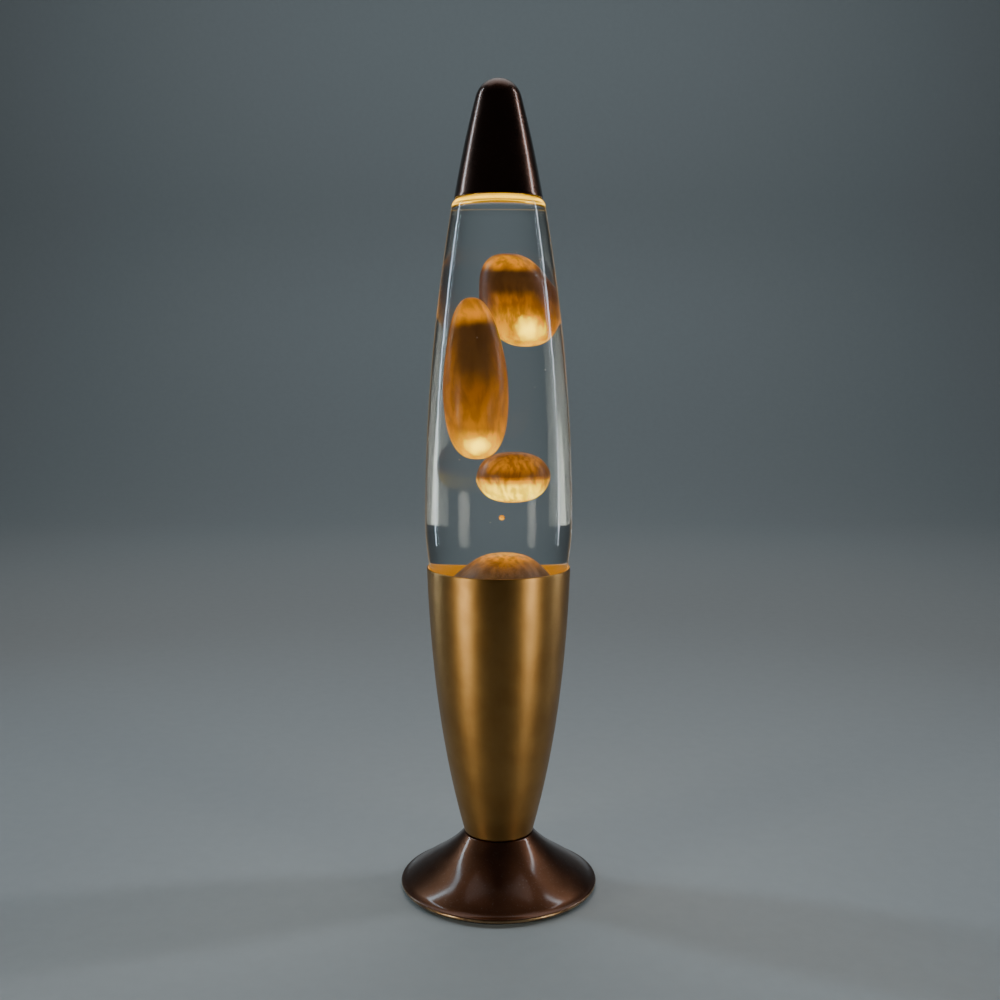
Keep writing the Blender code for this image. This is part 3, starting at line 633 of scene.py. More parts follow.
@dataclass(frozen=True)
class Clear:
    """Glass or liquid, clear through and through, which lets lamp light reach what is behind it."""

    name: str
    colour: Colour
    index: float
    roughness: float = 0.0
    smear: float = 0.0
    mirror: float = 1.0
    rings: tuple[tuple[float, float, float], ...] = ()
    ring_colour: Colour = (1.0, 0.42, 0.05)
    edge_glow: float = 0.0
    power: float = 4.0

    def build(self) -> bpy.types.Material:
        """Make the material, with rings of light at the heights that the lamp's light gathers at."""
        fixed = {"Base Color": self.colour, "IOR": self.index, "Transmission Weight": 1.0,
                 "Specular Tint": (self.mirror, self.mirror, self.mirror)}
        material, graph, shader = start_material(self.name, fixed)
        marks = graph.group("handling", {"Dust": 0.2, "Smudge": 1.0})
        rough = graph.plus(self.roughness, graph.times(marks.outputs["Smudge"], self.smear))
        graph.fill(shader.inputs["Roughness"], rough)
        light = None
        z = graph.axes()[2]
        for middle, half, power in self.rings:
            away = graph.math("ABSOLUTE", graph.less(z, middle))
            band = graph.times(graph.spread(away, half, 0.0), power)
            light = graph.plus(light, band) if light else band
        # Painted light: an amber glow where the surface is seen at a grazing angle.
        if self.edge_glow:
            grazing = graph.add("LayerWeight", {"Blend": 0.25}).outputs["Facing"]
            band = graph.times(graph.spread(grazing, 0.45, 1.0), self.edge_glow)
            light = graph.plus(light, band) if light else band
        if light:
            broken = graph.spread(graph.noise(graph.place(), 90.0, 3.0), 0.2, 0.7, (0.55, 1.0))
            light = graph.times(light, broken)
            graph.fill(shader.inputs["Emission Color"], graph.mix(light, (0, 0, 0), self.ring_colour))
            shader.inputs["Emission Strength"].default_value = self.power
        output = graph.tree.nodes["Material Output"]
        shadow = graph.add("LightPath").outputs["Is Shadow Ray"]
        through = graph.add("BsdfTransparent", {"Color": (*self.colour, 1.0)})
        both = graph.add("MixShader", {0: shadow, 1: shader.outputs[0], 2: through.outputs[0]})
        graph.fill(output.inputs["Surface"], both.outputs[0])
        return material


@dataclass(frozen=True)
class Wax:
    """Wax lit from below: two rows of colour by height, one for its middle and one for its two sides.

    The colours are painted light, the bulb's light showing through the wax, so they feed the emission, over a dark
    amber skin. The sides' row paints where the light shows through thinner wax.
    """

    name: str
    low: float
    high: float
    middle: Point
    reach: float
    core: tuple[tuple[float, Colour], ...]
    sides: tuple[tuple[float, Colour], ...]
    lean: float = 0.0
    wander: float = 0.16
    streaks: float = 0.6
    fineness: float = 1.0
    side_band: Point = (0.45, 0.95)
    hot: tuple[float, float, float, float, float] | None = None
    hot_colour: Colour = (4.0, 2.8, 0.02)
    round_band: bool = False

    def build(self) -> bpy.types.Material:
        """Make the material."""
        skin = {"Base Color": (0.09, 0.03, 0.006), "Roughness": 0.30, "IOR": 1.25, "Emission Strength": 1.0}
        material, graph, shader = start_material(self.name, skin)
        share = graph.group("height_share", {"Low": self.low, "High": self.high, "Wander": self.wander}).outputs[0]
        drawn = graph.group("wax_streaks", {"Fineness": self.fineness, "Bend": 0.006})
        streak = graph.spread(drawn.outputs["Streak"], 0.32, 0.68)
        x, y, _ = graph.axes()
        leaned = graph.times(graph.less(share, 0.5), 2 * self.lean)
        aside = graph.math("ABSOLUTE", graph.less(graph.less(x, self.middle[0]), leaned))
        if self.round_band:
            behind = graph.less(y, self.middle[1])
            aside = graph.length(aside, behind)
        # Painted light: how far a point is out towards the sides, where the lamp's light shows through thinner wax.
        edge = graph.spread(graph.math("DIVIDE", aside, self.reach), *self.side_band)
        colour = graph.mix(edge, graph.ramp(share, list(self.core)), graph.ramp(share, list(self.sides)))
        # The streaks vary the brightness of the painted light.
        shade = graph.spread(streak, 0.0, 1.0, (1.0 - self.streaks, 1.0 + 0.25 * self.streaks))
        lit = graph.add("VectorMath", {0: colour}, operation="SCALE")
        graph.fill(lit.inputs["Scale"], shade)
        colour = lit.outputs[0]
        if self.hot:
            colour = self.add_hot_spot(graph, colour, drawn.outputs["Streak"])
        graph.fill(shader.inputs["Emission Color"], colour)
        bump(graph, shader, drawn.outputs["Height"], 0.25 * MM, 0.5)
        return material

    def add_hot_spot(self, graph: Graph, colour: object, streak: object) -> Socket:
        """Mix in a painted highlight where the lamp's light is brightest: an ellipsoid about a point."""
        at_x, at_y, at_z, wide, tall = self.hot
        away = graph.add("VectorMath", {0: graph.place(), 1: (at_x, at_y, at_z)}, operation="SUBTRACT").outputs[0]
        scaled = graph.add("VectorMath", {0: away, 1: (1 / wide, 0.5 / wide, 1 / tall)}, operation="MULTIPLY")
        far = graph.add("VectorMath", {0: scaled.outputs[0]}, operation="LENGTH").outputs["Value"]
        ragged = graph.plus(far, graph.times(graph.less(streak, 0.5), 1.2))
        return graph.mix(graph.spread(ragged, 1.0, 0.2), colour, self.hot_colour)


BROWN = SpunMetal("brown_lacquer", (0.080, 0.030, 0.016), (0.058, 0.021, 0.011), 0.24, 0.5, 0.4, 0.5)
GOLD = (0.35, 0.185, 0.056)
GOLD_DARK = (0.29, 0.145, 0.041)
TIN = Plain("tinplate", (0.70, 0.68, 0.62), 0.26, 1.0)
PLATED = Plain("screw_steel", (0.62, 0.62, 0.60), 0.24, 1.0)
BRIGHT_WIRE = Plain("coil_steel", (0.68, 0.66, 0.62), 0.18, 1.0, dust=0.0)
BRASS = Plain("holder_brass", (0.78, 0.58, 0.24), 0.24, 1.0, 0.35)
CAP_BRASS = Plain("bulb_brass", (0.80, 0.62, 0.30), 0.22, 1.0, 0.3)
PLASTIC = Plain("black_plastic", (0.022, 0.022, 0.023), 0.42, grain_scale=1500.0, grain_depth=0.03 * MM)
RUBBER = Plain("black_rubber", (0.018, 0.018, 0.018), 0.7, grain_scale=1200.0, grain_depth=0.02 * MM)
PHENOLIC = Plain("phenolic", (0.045, 0.030, 0.024), 0.3, 0.0, 0.5)
FIBRE = Plain("vulcanised_fibre", (0.36, 0.10, 0.05), 0.75, 0.0, 0.4, 500.0, 0.03 * MM)
LINER = Plain("closure_liner", (0.74, 0.73, 0.68), 0.5)
INSULATOR = Plain("bulb_insulator", (0.02, 0.02, 0.022), 0.12)
NICKEL = Plain("lead_wire", (0.55, 0.53, 0.50), 0.25, 1.0, dust=0.0)


@lru_cache(maxsize=None)
def made(finish: object) -> bpy.types.Material:
    """A finish's material, built the first time that it is asked for."""
    return finish.build()


def dress(piece: Piece, finish: object) -> Piece:
    """Give a piece one finish, as its one material slot.

    Args:
        piece: a new piece, or a CAD node's object.
        finish: a finish with a name and a build method.

    Returns:
        The piece.
    """
    piece.data.materials.clear()
    piece.data.materials.append(made(finish))
    return piece


def report(piece: Piece, body: Body, *nodes: str) -> Piece:
    """Make a finished piece ride on its body, in place of the CAD nodes it stands for, and log it.

    Args:
        piece: the piece, in place and dressed.
        body: the body that it moves with.
        nodes: the CAD nodes that it replaces.

    Returns:
        The piece.
    """
    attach(piece, body.value)
    if nodes:
        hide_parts(*nodes)
    log.info("%s: %d faces on %s", piece.name, len(piece.data.polygons), body.value)
    return piece


def size_of(node: str) -> tuple[float, float, float]:
    """A turned CAD node's greatest radius, its lowest height and its highest."""
    low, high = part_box(node)
    return high[0], low[2], high[2]


def stand_of(node: str) -> tuple[Point, float, float, float]:
    """A small upright CAD node's axis in X and Y, its radius, its lowest height and its highest."""
    (x0, y0, low), (x1, y1, high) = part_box(node)
    return ((x0 + x1) / 2, (y0 + y1) / 2), (x1 - x0) / 2, low, high


# ---------------------------------------------------------------- cap


@dataclass
class TopCap:
    """The spun cone over the bottle's neck."""

    sheet: float = 0.7 * MM
    dome: float = 9.7 * MM
    bead: float = 0.45 * MM

    def outline(self) -> Array:
        """Its outside from the tip to a small bead at the rim, and back up the inside."""
        rim, low, high = size_of("top_cap")
        dome = arc((0, high - self.dome), self.dome, 90, 13, 20)
        dome[0, 0] = 0
        cone = rise(tuple(dome[-1]), (rim, low + self.bead), (-0.27, -0.175), 40)
        outside = path(dome, cone)
        inside = offset(outside, -self.sheet)
        bead = arc((rim - self.sheet / 2, low + self.bead), self.sheet / 2 + 0.05 * MM, 0, -180, 8)
        return path(outside[:-1], bead, inside[::-1][1:])

    def build(self) -> None:
        """Make the cap."""
        cap = turned("cap_shell", self.outline(), 160)
        report(dress(cap, BROWN), Body.CAP, "top_cap")


# ---------------------------------------------------------------- bottle, closure and liquid


@dataclass
class Bottle:
    """The glass bottle with its closure, and the liquid in it."""

    wall: float = 2.4 * MM
    arch: float = 0.6 * MM
    heel: float = 6.8 * MM
    heel_centre: float = 20.6 * MM
    heel_end: Point = (27.33 * MM, 5.85 * MM)
    shoulder_radius: float = 19.29 * MM
    shoulder_drop: float = 17.0 * MM
    seat_radius: float = 29.45 * MM
    widest_height: float = 54.0 * MM
    neck: float = 11.35 * MM
    lip: float = 13.0 * MM
    bend: float = 4.0 * MM
    soak: float = 0.2 * MM
    glow: Colour = (1.0, 0.52, 0.008)

    def outside(self) -> Array:
        """The wall's outside: floor, heel, belly, shoulder and neck, as smooth cubic stretches and arcs."""
        widest, floor, top = size_of("bottle_glass")
        seat_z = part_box("body_shell")[1][2]
        shoulder_z = top - self.shoulder_drop
        heel = arc((self.heel_centre, floor + self.heel), self.heel, -90, -8, 12)
        seat = (self.seat_radius, seat_z)
        belly = (widest, floor + self.widest_height)
        bend_foot = (self.neck + self.bend, shoulder_z - 0.65 * MM)
        floor_arch = ease((0, floor + self.arch), (self.heel_centre, floor), (0.0, 0.0), 8)
        return path(
            floor_arch,
            heel[1:-1],
            rise((self.heel_end[0], floor + self.heel_end[1]), seat, (0.09, 0.08), 10)[:-1],
            rise(seat, belly, (0.10, 0.0), 10)[:-1],
            rise(belly, (self.shoulder_radius, shoulder_z), (0.0, -0.175), 48)[:-1],
            arc(bend_foot, self.bend, 10, 90, 8),
            arc((bend_foot[0], bend_foot[1] + 2 * self.bend), self.bend, -90, -180, 8)[1:],
            [(self.neck, top - 5.0 * MM)],
        )

    def inside(self) -> Array:
        """The wall's inside."""
        return offset(self.outside(), self.wall)

    def build_glass(self) -> None:
        """Make the bottle, with a rolled lip round its mouth."""
        _, floor, top = size_of("bottle_glass")
        over, under = 1.0 * MM, 0.8 * MM
        lip = arc((self.lip - over, top - over), over, 0, 90, 6)
        under = arc((self.lip - under, top - 3.8 * MM), under, -90, 0, 4)
        throat = [(self.neck - self.wall + 0.6 * MM, top), (self.neck - self.wall, top - 0.6 * MM)]
        inside = self.inside()
        inside[-1, 0] = self.neck - self.wall
        outline = path(self.outside(), under, lip, throat, inside[::-1])
        glass = turned("bottle_glass_wall", outline, 192)
        shoulder = top - self.shoulder_drop
        # Painted rings of lamp light on the glass just below the cap.
        rings = ((shoulder + 1.6 * MM, 1.1 * MM, 1.0), (shoulder + 0.2 * MM, 1.5 * MM, 0.16))
        finish = Clear("clear_glass", (0.97, 0.985, 0.985), 1.45, 0.0, 0.01, 0.08, rings, self.glow, 0.15, 2.5)
        report(dress(glass, finish), Body.BOTTLE, "bottle_glass")

    def build_liquid(self, pool: "WaxPool") -> None:
        """Make the liquid: it wets the wall and the wax pool, and its free top curls up at the edge."""
        top_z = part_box("liquid")[1][2]
        wall = self.inside()
        wall = wall[(wall[:, 1] > pool.edge_z + 0.5 * MM) & (wall[:, 1] < top_z) & (wall[:, 0] > 14 * MM)]
        wall = wall + np.array([self.soak, 0.0])
        climb = radius_at(wall, top_z)
        free_top = path(ease((0, top_z), (climb - 1.5 * MM, top_z), (0, 0), 4), [(climb, top_z + 0.5 * MM)])
        below = pool.top_outline(self) - np.array([0.0, self.soak])
        points = turned_points(path(free_top, wall[::-1], below[::-1]), 160)
        liquid = surface("liquid_fill", pool.lean(points, radius_at(wall, pool.edge_z)), wrap_v=True)
        finish = Clear("clear_liquid", (0.965, 0.97, 0.97), 1.36, mirror=0.05)
        report(dress(liquid, finish), Body.BOTTLE, "liquid")

    def build_closure(self) -> None:
        """Make the crimped tin crown, whose skirt is fluted, and the liner in it.

        The skirt's radius is the plain outline's radius plus a wave round the axis that grows downwards.
        """
        radius, low, high = size_of("crown_closure")
        tin, inner, skirt = 0.3 * MM, radius - 0.35 * MM, high - 1.6 * MM
        outside = rounded([(0, high), (inner - 1.0 * MM, high), (inner, skirt), (inner, low)], 1.2 * MM, 6, False)
        outside = path(outside[:-1], rise(tuple(outside[-2]), (inner, low), (0, 0), 10))
        shell = path(outside, offset(outside, -tin)[::-1])
        flutes = 21
        points, angle = turned_points(shell, flutes * 12), full_turn(flutes * 12)
        depth = np.clip((skirt - shell[:, 1:]) / (skirt - low), 0, 1)
        swell = 1 + depth * 0.22 * MM * np.cos(flutes * angle) / inner
        points[..., :2] *= swell[..., None]
        report(dress(surface("crown_cap", points, wrap_v=True), TIN), Body.BOTTLE, "crown_closure")
        radius, low, high = size_of("closure_liner")
        disc = rounded([(0, high), (radius, high), (radius, low), (0, low)], 0.3 * MM, 3, False)
        report(dress(turned("crown_liner", disc, 96), LINER), Body.BOTTLE, "closure_liner")

    def build_coil(self) -> None:
        """Make the heating coil: its wire winds round a circle, which is the spring's own centre line."""
        radius, low, high = size_of("heating_coil")
        thick = 0.5 * MM
        wind = (high - low) / 2 - thick
        ring, turns = radius - wind - thick, 64
        around = full_turn(turns * 12)
        height = (low + high) / 2 + wind * np.sin(turns * around)
        line = carried(ring + wind * np.cos(turns * around), around, height)
        report(dress(tube("coil_spring", line, thick * 0.8, 8, True), BRIGHT_WIRE), Body.BOTTLE, "heating_coil")

    def build_bubbles(self) -> None:
        """Make the specks that hang in the liquid: small spheres at seeded places, in one piece.

        A speck's point is its middle plus its radius times (cos b cos a, cos b sin a, sin b).
        """
        rng = np.random.default_rng(7)
        count = 34
        height = rng.uniform(0.158, 0.284, count)
        reach = radius_at(self.inside()[12:], height) - 1.4 * MM
        angle = rng.uniform(0, 2 * math.pi, count)
        wide = reach * np.sqrt(rng.uniform(0.45, 1.0, count))
        middle = carried(wide, angle, height)
        size = rng.uniform(0.10, 0.24, count) * MM
        b, a = np.meshgrid(np.linspace(-math.pi / 2, math.pi / 2, 7), np.linspace(0, 2 * math.pi, 10), indexing="ij")
        ball = carried(np.cos(b), a, np.sin(b))
        parts = [surface("speck", middle[i] + size[i] * ball) for i in range(count)]
        shape = bmesh.new()
        for part in parts:
            shape.from_mesh(part.data)
            bpy.data.objects.remove(part)
        mesh = bpy.data.meshes.new("liquid_specks")
        shape.to_mesh(mesh)
        shape.free()
        mesh.shade_smooth()
        finish = Plain("speck_white", (0.85, 0.83, 0.78), 0.2)
        report(dress(in_scene("liquid_specks", mesh), finish), Body.BOTTLE)

    def build(self, pool: "WaxPool") -> None:
        """Make everything that lifts out with the bottle, but for the wax."""
        self.build_glass()
        self.build_liquid(pool)
        self.build_closure()
        self.build_coil()
        self.build_bubbles()


# ---------------------------------------------------------------- wax


# Colours of the painted light in the wax: the bulb's light through it, fed to the emission.
ORANGE = (0.86, 0.28, 0.0015)
AMBER = (0.46, 0.14, 0.0015)
YELLOW = (1.7, 0.72, 0.002)
PAINTED_WHITE_LIGHT = (4.6, 3.0, 0.01)
BARK = (0.040, 0.018, 0.004)
MAROON = (0.045, 0.012, 0.006)
TAN = (0.30, 0.095, 0.003)


@dataclass
class WaxPool:
    """The wax at the bottom of the bottle, with its leaning dome."""

    edge_z: float = 124.5 * MM
    shift: float = 1.8 * MM
    fullness: float = 1.4

    def crest(self) -> float:
        """The height of the dome's top."""
        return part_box("wax_pool")[1][2]

    def top_outline(self, bottle: Bottle) -> Array:
        """The dome from the axis out to the wall: its height follows half a cosine of the radius's power."""
        edge = radius_at(bottle.inside()[12:], self.edge_z) + bottle.soak
        share = np.linspace(0, 1, 40)
        height = self.edge_z + (self.crest() - self.edge_z) * (1 + np.cos(math.pi * share**self.fullness)) / 2
        return np.stack([edge * share, height], axis=1)

    def lean(self, points: Array, edge: float) -> Array:
        """Shift the dome sideways, by an amount that grows smoothly from its edge to its crest."""
        share = np.clip((points[..., 2] - self.edge_z) / (self.crest() - self.edge_z), 0, 1)
        on_dome = (np.hypot(points[..., 0], points[..., 1]) <= edge) & (points[..., 2] <= self.crest() + 1e-6)
        moved = points.copy()
        moved[..., 0] += np.where(on_dome, self.shift * share**2 * (3 - 2 * share), 0)
        return moved

    def build(self, bottle: Bottle) -> None:
        """Make the pool: dome, wall and floor, with a groove for the coil underneath."""
        inside = offset(bottle.outside(), bottle.wall - bottle.soak)
        wall = inside[(inside[:, 1] < self.edge_z) & (inside[:, 0] > 19.6 * MM) & (inside[:, 0] < 29 * MM)]
        coil, low, high = size_of("heating_coil")
        floor = low - 0.02 * MM
        groove = [(coil + 0.3 * MM, floor), (coil + 0.3 * MM, high + 0.3 * MM),
                  (coil - 5.3 * MM, high + 0.3 * MM), (coil - 5.3 * MM, floor), (0, floor + 0.5 * MM)]
        outline = path(self.top_outline(bottle), wall[::-1], groove)
        pool = surface("wax_pool_lit", self.lean(turned_points(outline, 128), 30 * MM), wrap_v=True)
        # Painted light: the bulb's light through the pool, by height, with a darker row for the sides.
        finish = Wax(
            "pool_wax", floor, self.crest(), (self.shift, 0.0), 24 * MM,
            core=((0.0, ORANGE), (0.20, AMBER), (0.42, TAN), (0.74, (0.26, 0.085, 0.003)),
                  (0.90, (0.46, 0.15, 0.003)), (0.97, ORANGE), (1.0, (1.2, 0.46, 0.002))),
            sides=((0.0, ORANGE), (0.20, AMBER), (0.42, (0.10, 0.04, 0.01)), (0.50, (0.06, 0.036, 0.018)),
                   (0.76, (0.055, 0.036, 0.02)), (1.0, (0.3, 0.10, 0.003))),
            side_band=(0.30, 0.50), wander=0.06, streaks=0.5, fineness=1.2, round_band=True,
        )
        report(dress(pool, finish), Body.BOTTLE, "wax_pool")


@dataclass
class Blob:
    """A drifting blob of wax: an egg that leans and is wider below its middle, with a wavy skin.

    Ring by ring, the section is an ellipse. Its size follows the cosine of the ring's latitude, raised to a
    power below one that makes the ends fuller, and three slow waves round and along it are added.
    """

    name: str
    node: str
    body: Body
    finish: Wax
    middle: tuple[float, float, float]
    half: tuple[float, float, float]
    lean: float = 0.0
    swell: float = 0.0
    blunt: float = 0.8
    wave: float = 0.02

    def points(self) -> Array:
        """The grid of its surface."""
        latitude, around = np.meshgrid(np.linspace(-math.pi / 2, math.pi / 2, 73), full_turn(96), indexing="ij")
        up = np.sin(latitude)
        width = np.maximum(np.cos(latitude), 0) ** self.blunt * (1 - self.swell * up)
        ripple = np.sin(3 * around + 5 * up) + 0.6 * np.sin(2 * around - 7 * up + 1.0)
        ripple = ripple + 0.4 * np.sin(5 * around + 9 * up)
        width = width * (1 + self.wave * ripple * np.cos(latitude))
        x, y, z = self.middle
        return np.stack([
            x + self.lean * up + self.half[0] * width * np.cos(around),
            y + self.half[1] * width * np.sin(around),
            z + self.half[2] * up + 0 * around], axis=-1)

    def build(self) -> None:
        """Make the blob."""
        blob = surface(self.name, self.points(), wrap_v=True)
        report(dress(blob, self.finish), self.body, self.node)


def make_blobs() -> list[Blob]:
    """The four blobs, each in the place and at the size of its CAD node, with its own light."""
    blobs = []
    for node, (name, body, lean, swell, wave) in {
        "wax_blob_upper": ("wax_upper_lit", Body.UPPER, -2.6 * MM, 0.06, 0.010),
        "wax_blob_tall": ("wax_tall_lit", Body.TALL, -1.0 * MM, 0.15, 0.008),
        "wax_blob_oval": ("wax_oval_lit", Body.OVAL, 0.0, 0.0, 0.006),
        "wax_droplet": ("wax_droplet_lit", Body.DROPLET, 0.0, 0.0, 0.0),
    }.items():
        low, high = (np.array(corner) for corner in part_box(node))
        middle, half = (low + high) / 2, (high - low) / 2
        half[0] = half[0] - abs(lean) * 0.25
        blobs.append(Blob(name, node, body, None, tuple(middle), tuple(half), lean, swell, 0.8, wave))
    for blob in blobs:
        blob.finish = wax_for(blob)
    return blobs


def wax_for(blob: Blob) -> Wax:
    """The light in one blob, by its node."""
    x, y, z = blob.middle
    low, high = z - blob.half[2], z + blob.half[2]
    place = {"low": low, "high": high, "middle": (x, y), "reach": blob.half[0], "lean": blob.lean}
    # The painted highlight of the upper and tall blobs sits on their front, at -Y.
    front = y - blob.half[1]
    if blob.node == "wax_blob_upper":
        return Wax(
            "upper_wax", **place, wander=0.10, streaks=0.45, side_band=(0.5, 0.9),
            core=((0.0, YELLOW), (0.28, (1.1, 0.40, 0.002)), (0.46, AMBER), (0.62, (0.06, 0.024, 0.005)),
                  (0.78, (0.04, 0.018, 0.005)), (0.88, ORANGE), (0.95, ORANGE), (1.0, MAROON)),
            sides=((0.0, YELLOW), (0.18, ORANGE), (0.36, TAN), (0.56, MAROON), (1.0, MAROON)),
            hot=(x + 4.6 * MM, front, low + 7.0 * MM, 5.2 * MM, 6.5 * MM), hot_colour=PAINTED_WHITE_LIGHT,
        )
    if blob.node == "wax_blob_tall":
        return Wax(
            "tall_wax", **place, wander=0.10, streaks=0.35, fineness=0.7, side_band=(0.35, 0.9),
            core=((0.0, YELLOW), (0.12, YELLOW), (0.20, (0.52, 0.17, 0.002)), (0.40, (0.23, 0.07, 0.002)),
                  (0.60, BARK), (0.80, (0.035, 0.015, 0.004)), (0.90, ORANGE), (1.0, AMBER)),
            sides=((0.0, YELLOW), (0.14, ORANGE), (0.28, (0.38, 0.12, 0.002)), (0.60, (0.24, 0.075, 0.002)),
                   (0.88, (0.13, 0.045, 0.003)), (1.0, ORANGE)),
            hot=(x + 1.0 * MM, front, low + 5.6 * MM, 6.0 * MM, 4.4 * MM), hot_colour=PAINTED_WHITE_LIGHT,
        )
    if blob.node == "wax_blob_oval":
        return Wax(
            "oval_wax", **place, wander=0.05, streaks=0.5, fineness=1.6, side_band=(0.6, 1.0),
            core=((0.0, YELLOW), (0.12, (3.6, 2.3, 0.01)), (0.32, (3.2, 2.0, 0.01)), (0.43, (1.3, 0.5, 0.003)),
                  (0.50, AMBER), (0.54, (0.16, 0.05, 0.003)), (0.75, (0.52, 0.17, 0.003)),
                  (1.0, (0.22, 0.07, 0.003))),
            sides=((0.0, YELLOW), (0.42, (1.2, 0.5, 0.003)), (0.50, TAN), (0.54, (0.10, 0.035, 0.006)),
                   (1.0, (0.12, 0.04, 0.006))),
        )
    return Wax("droplet_wax", **place, wander=0.0, streaks=0.1, core=((0.0, YELLOW), (1.0, ORANGE)),
               sides=((0.0, ORANGE), (1.0, TAN)))


# ---------------------------------------------------------------- body


@dataclass
class BodyShell:
    """The spun gold cup."""

    sheet: float = 0.7 * MM
    floor_radius: float = 15.05 * MM
    bore: float = 10.4 * MM

    def build(self) -> None:
        """Make the cup, with a rolled top edge; the lamp's light on its inner side towards the rim is painted in as
        emission.
        """
        rim, low, high = size_of("body_shell")
        heel = arc((self.floor_radius - 1.1 * MM, low + 1.2 * MM), 1.2 * MM, -90, -15, 8)
        wall = rise((self.floor_radius + 0.1 * MM, low + 1.3 * MM), (rim, high - self.sheet / 2), (0.269, 0.036), 72)
        outside = path(heel, wall)
        inside = offset(outside, self.sheet)
        edge = arc((rim - self.sheet / 2, high - self.sheet / 2), self.sheet / 2, 0, 180, 10)
        outline = path([(self.bore, low)], outside, edge, inside[::-1], [(self.bore, low + self.sheet)])
        shell = turned("body_cup", outline, 192)
        # Painted lamp light: emission on the inner wall's top 30 mm.
        finish = SpunMetal("gold_metal", GOLD, GOLD_DARK, 0.36, 0.5, 0.0, 1.0,
                           glow=(high - 30 * MM, high), glow_colour=(0.50, 0.18, 0.002))
        report(dress(shell, finish), Body.BASE, "body_shell")


# ---------------------------------------------------------------- foot and its underside


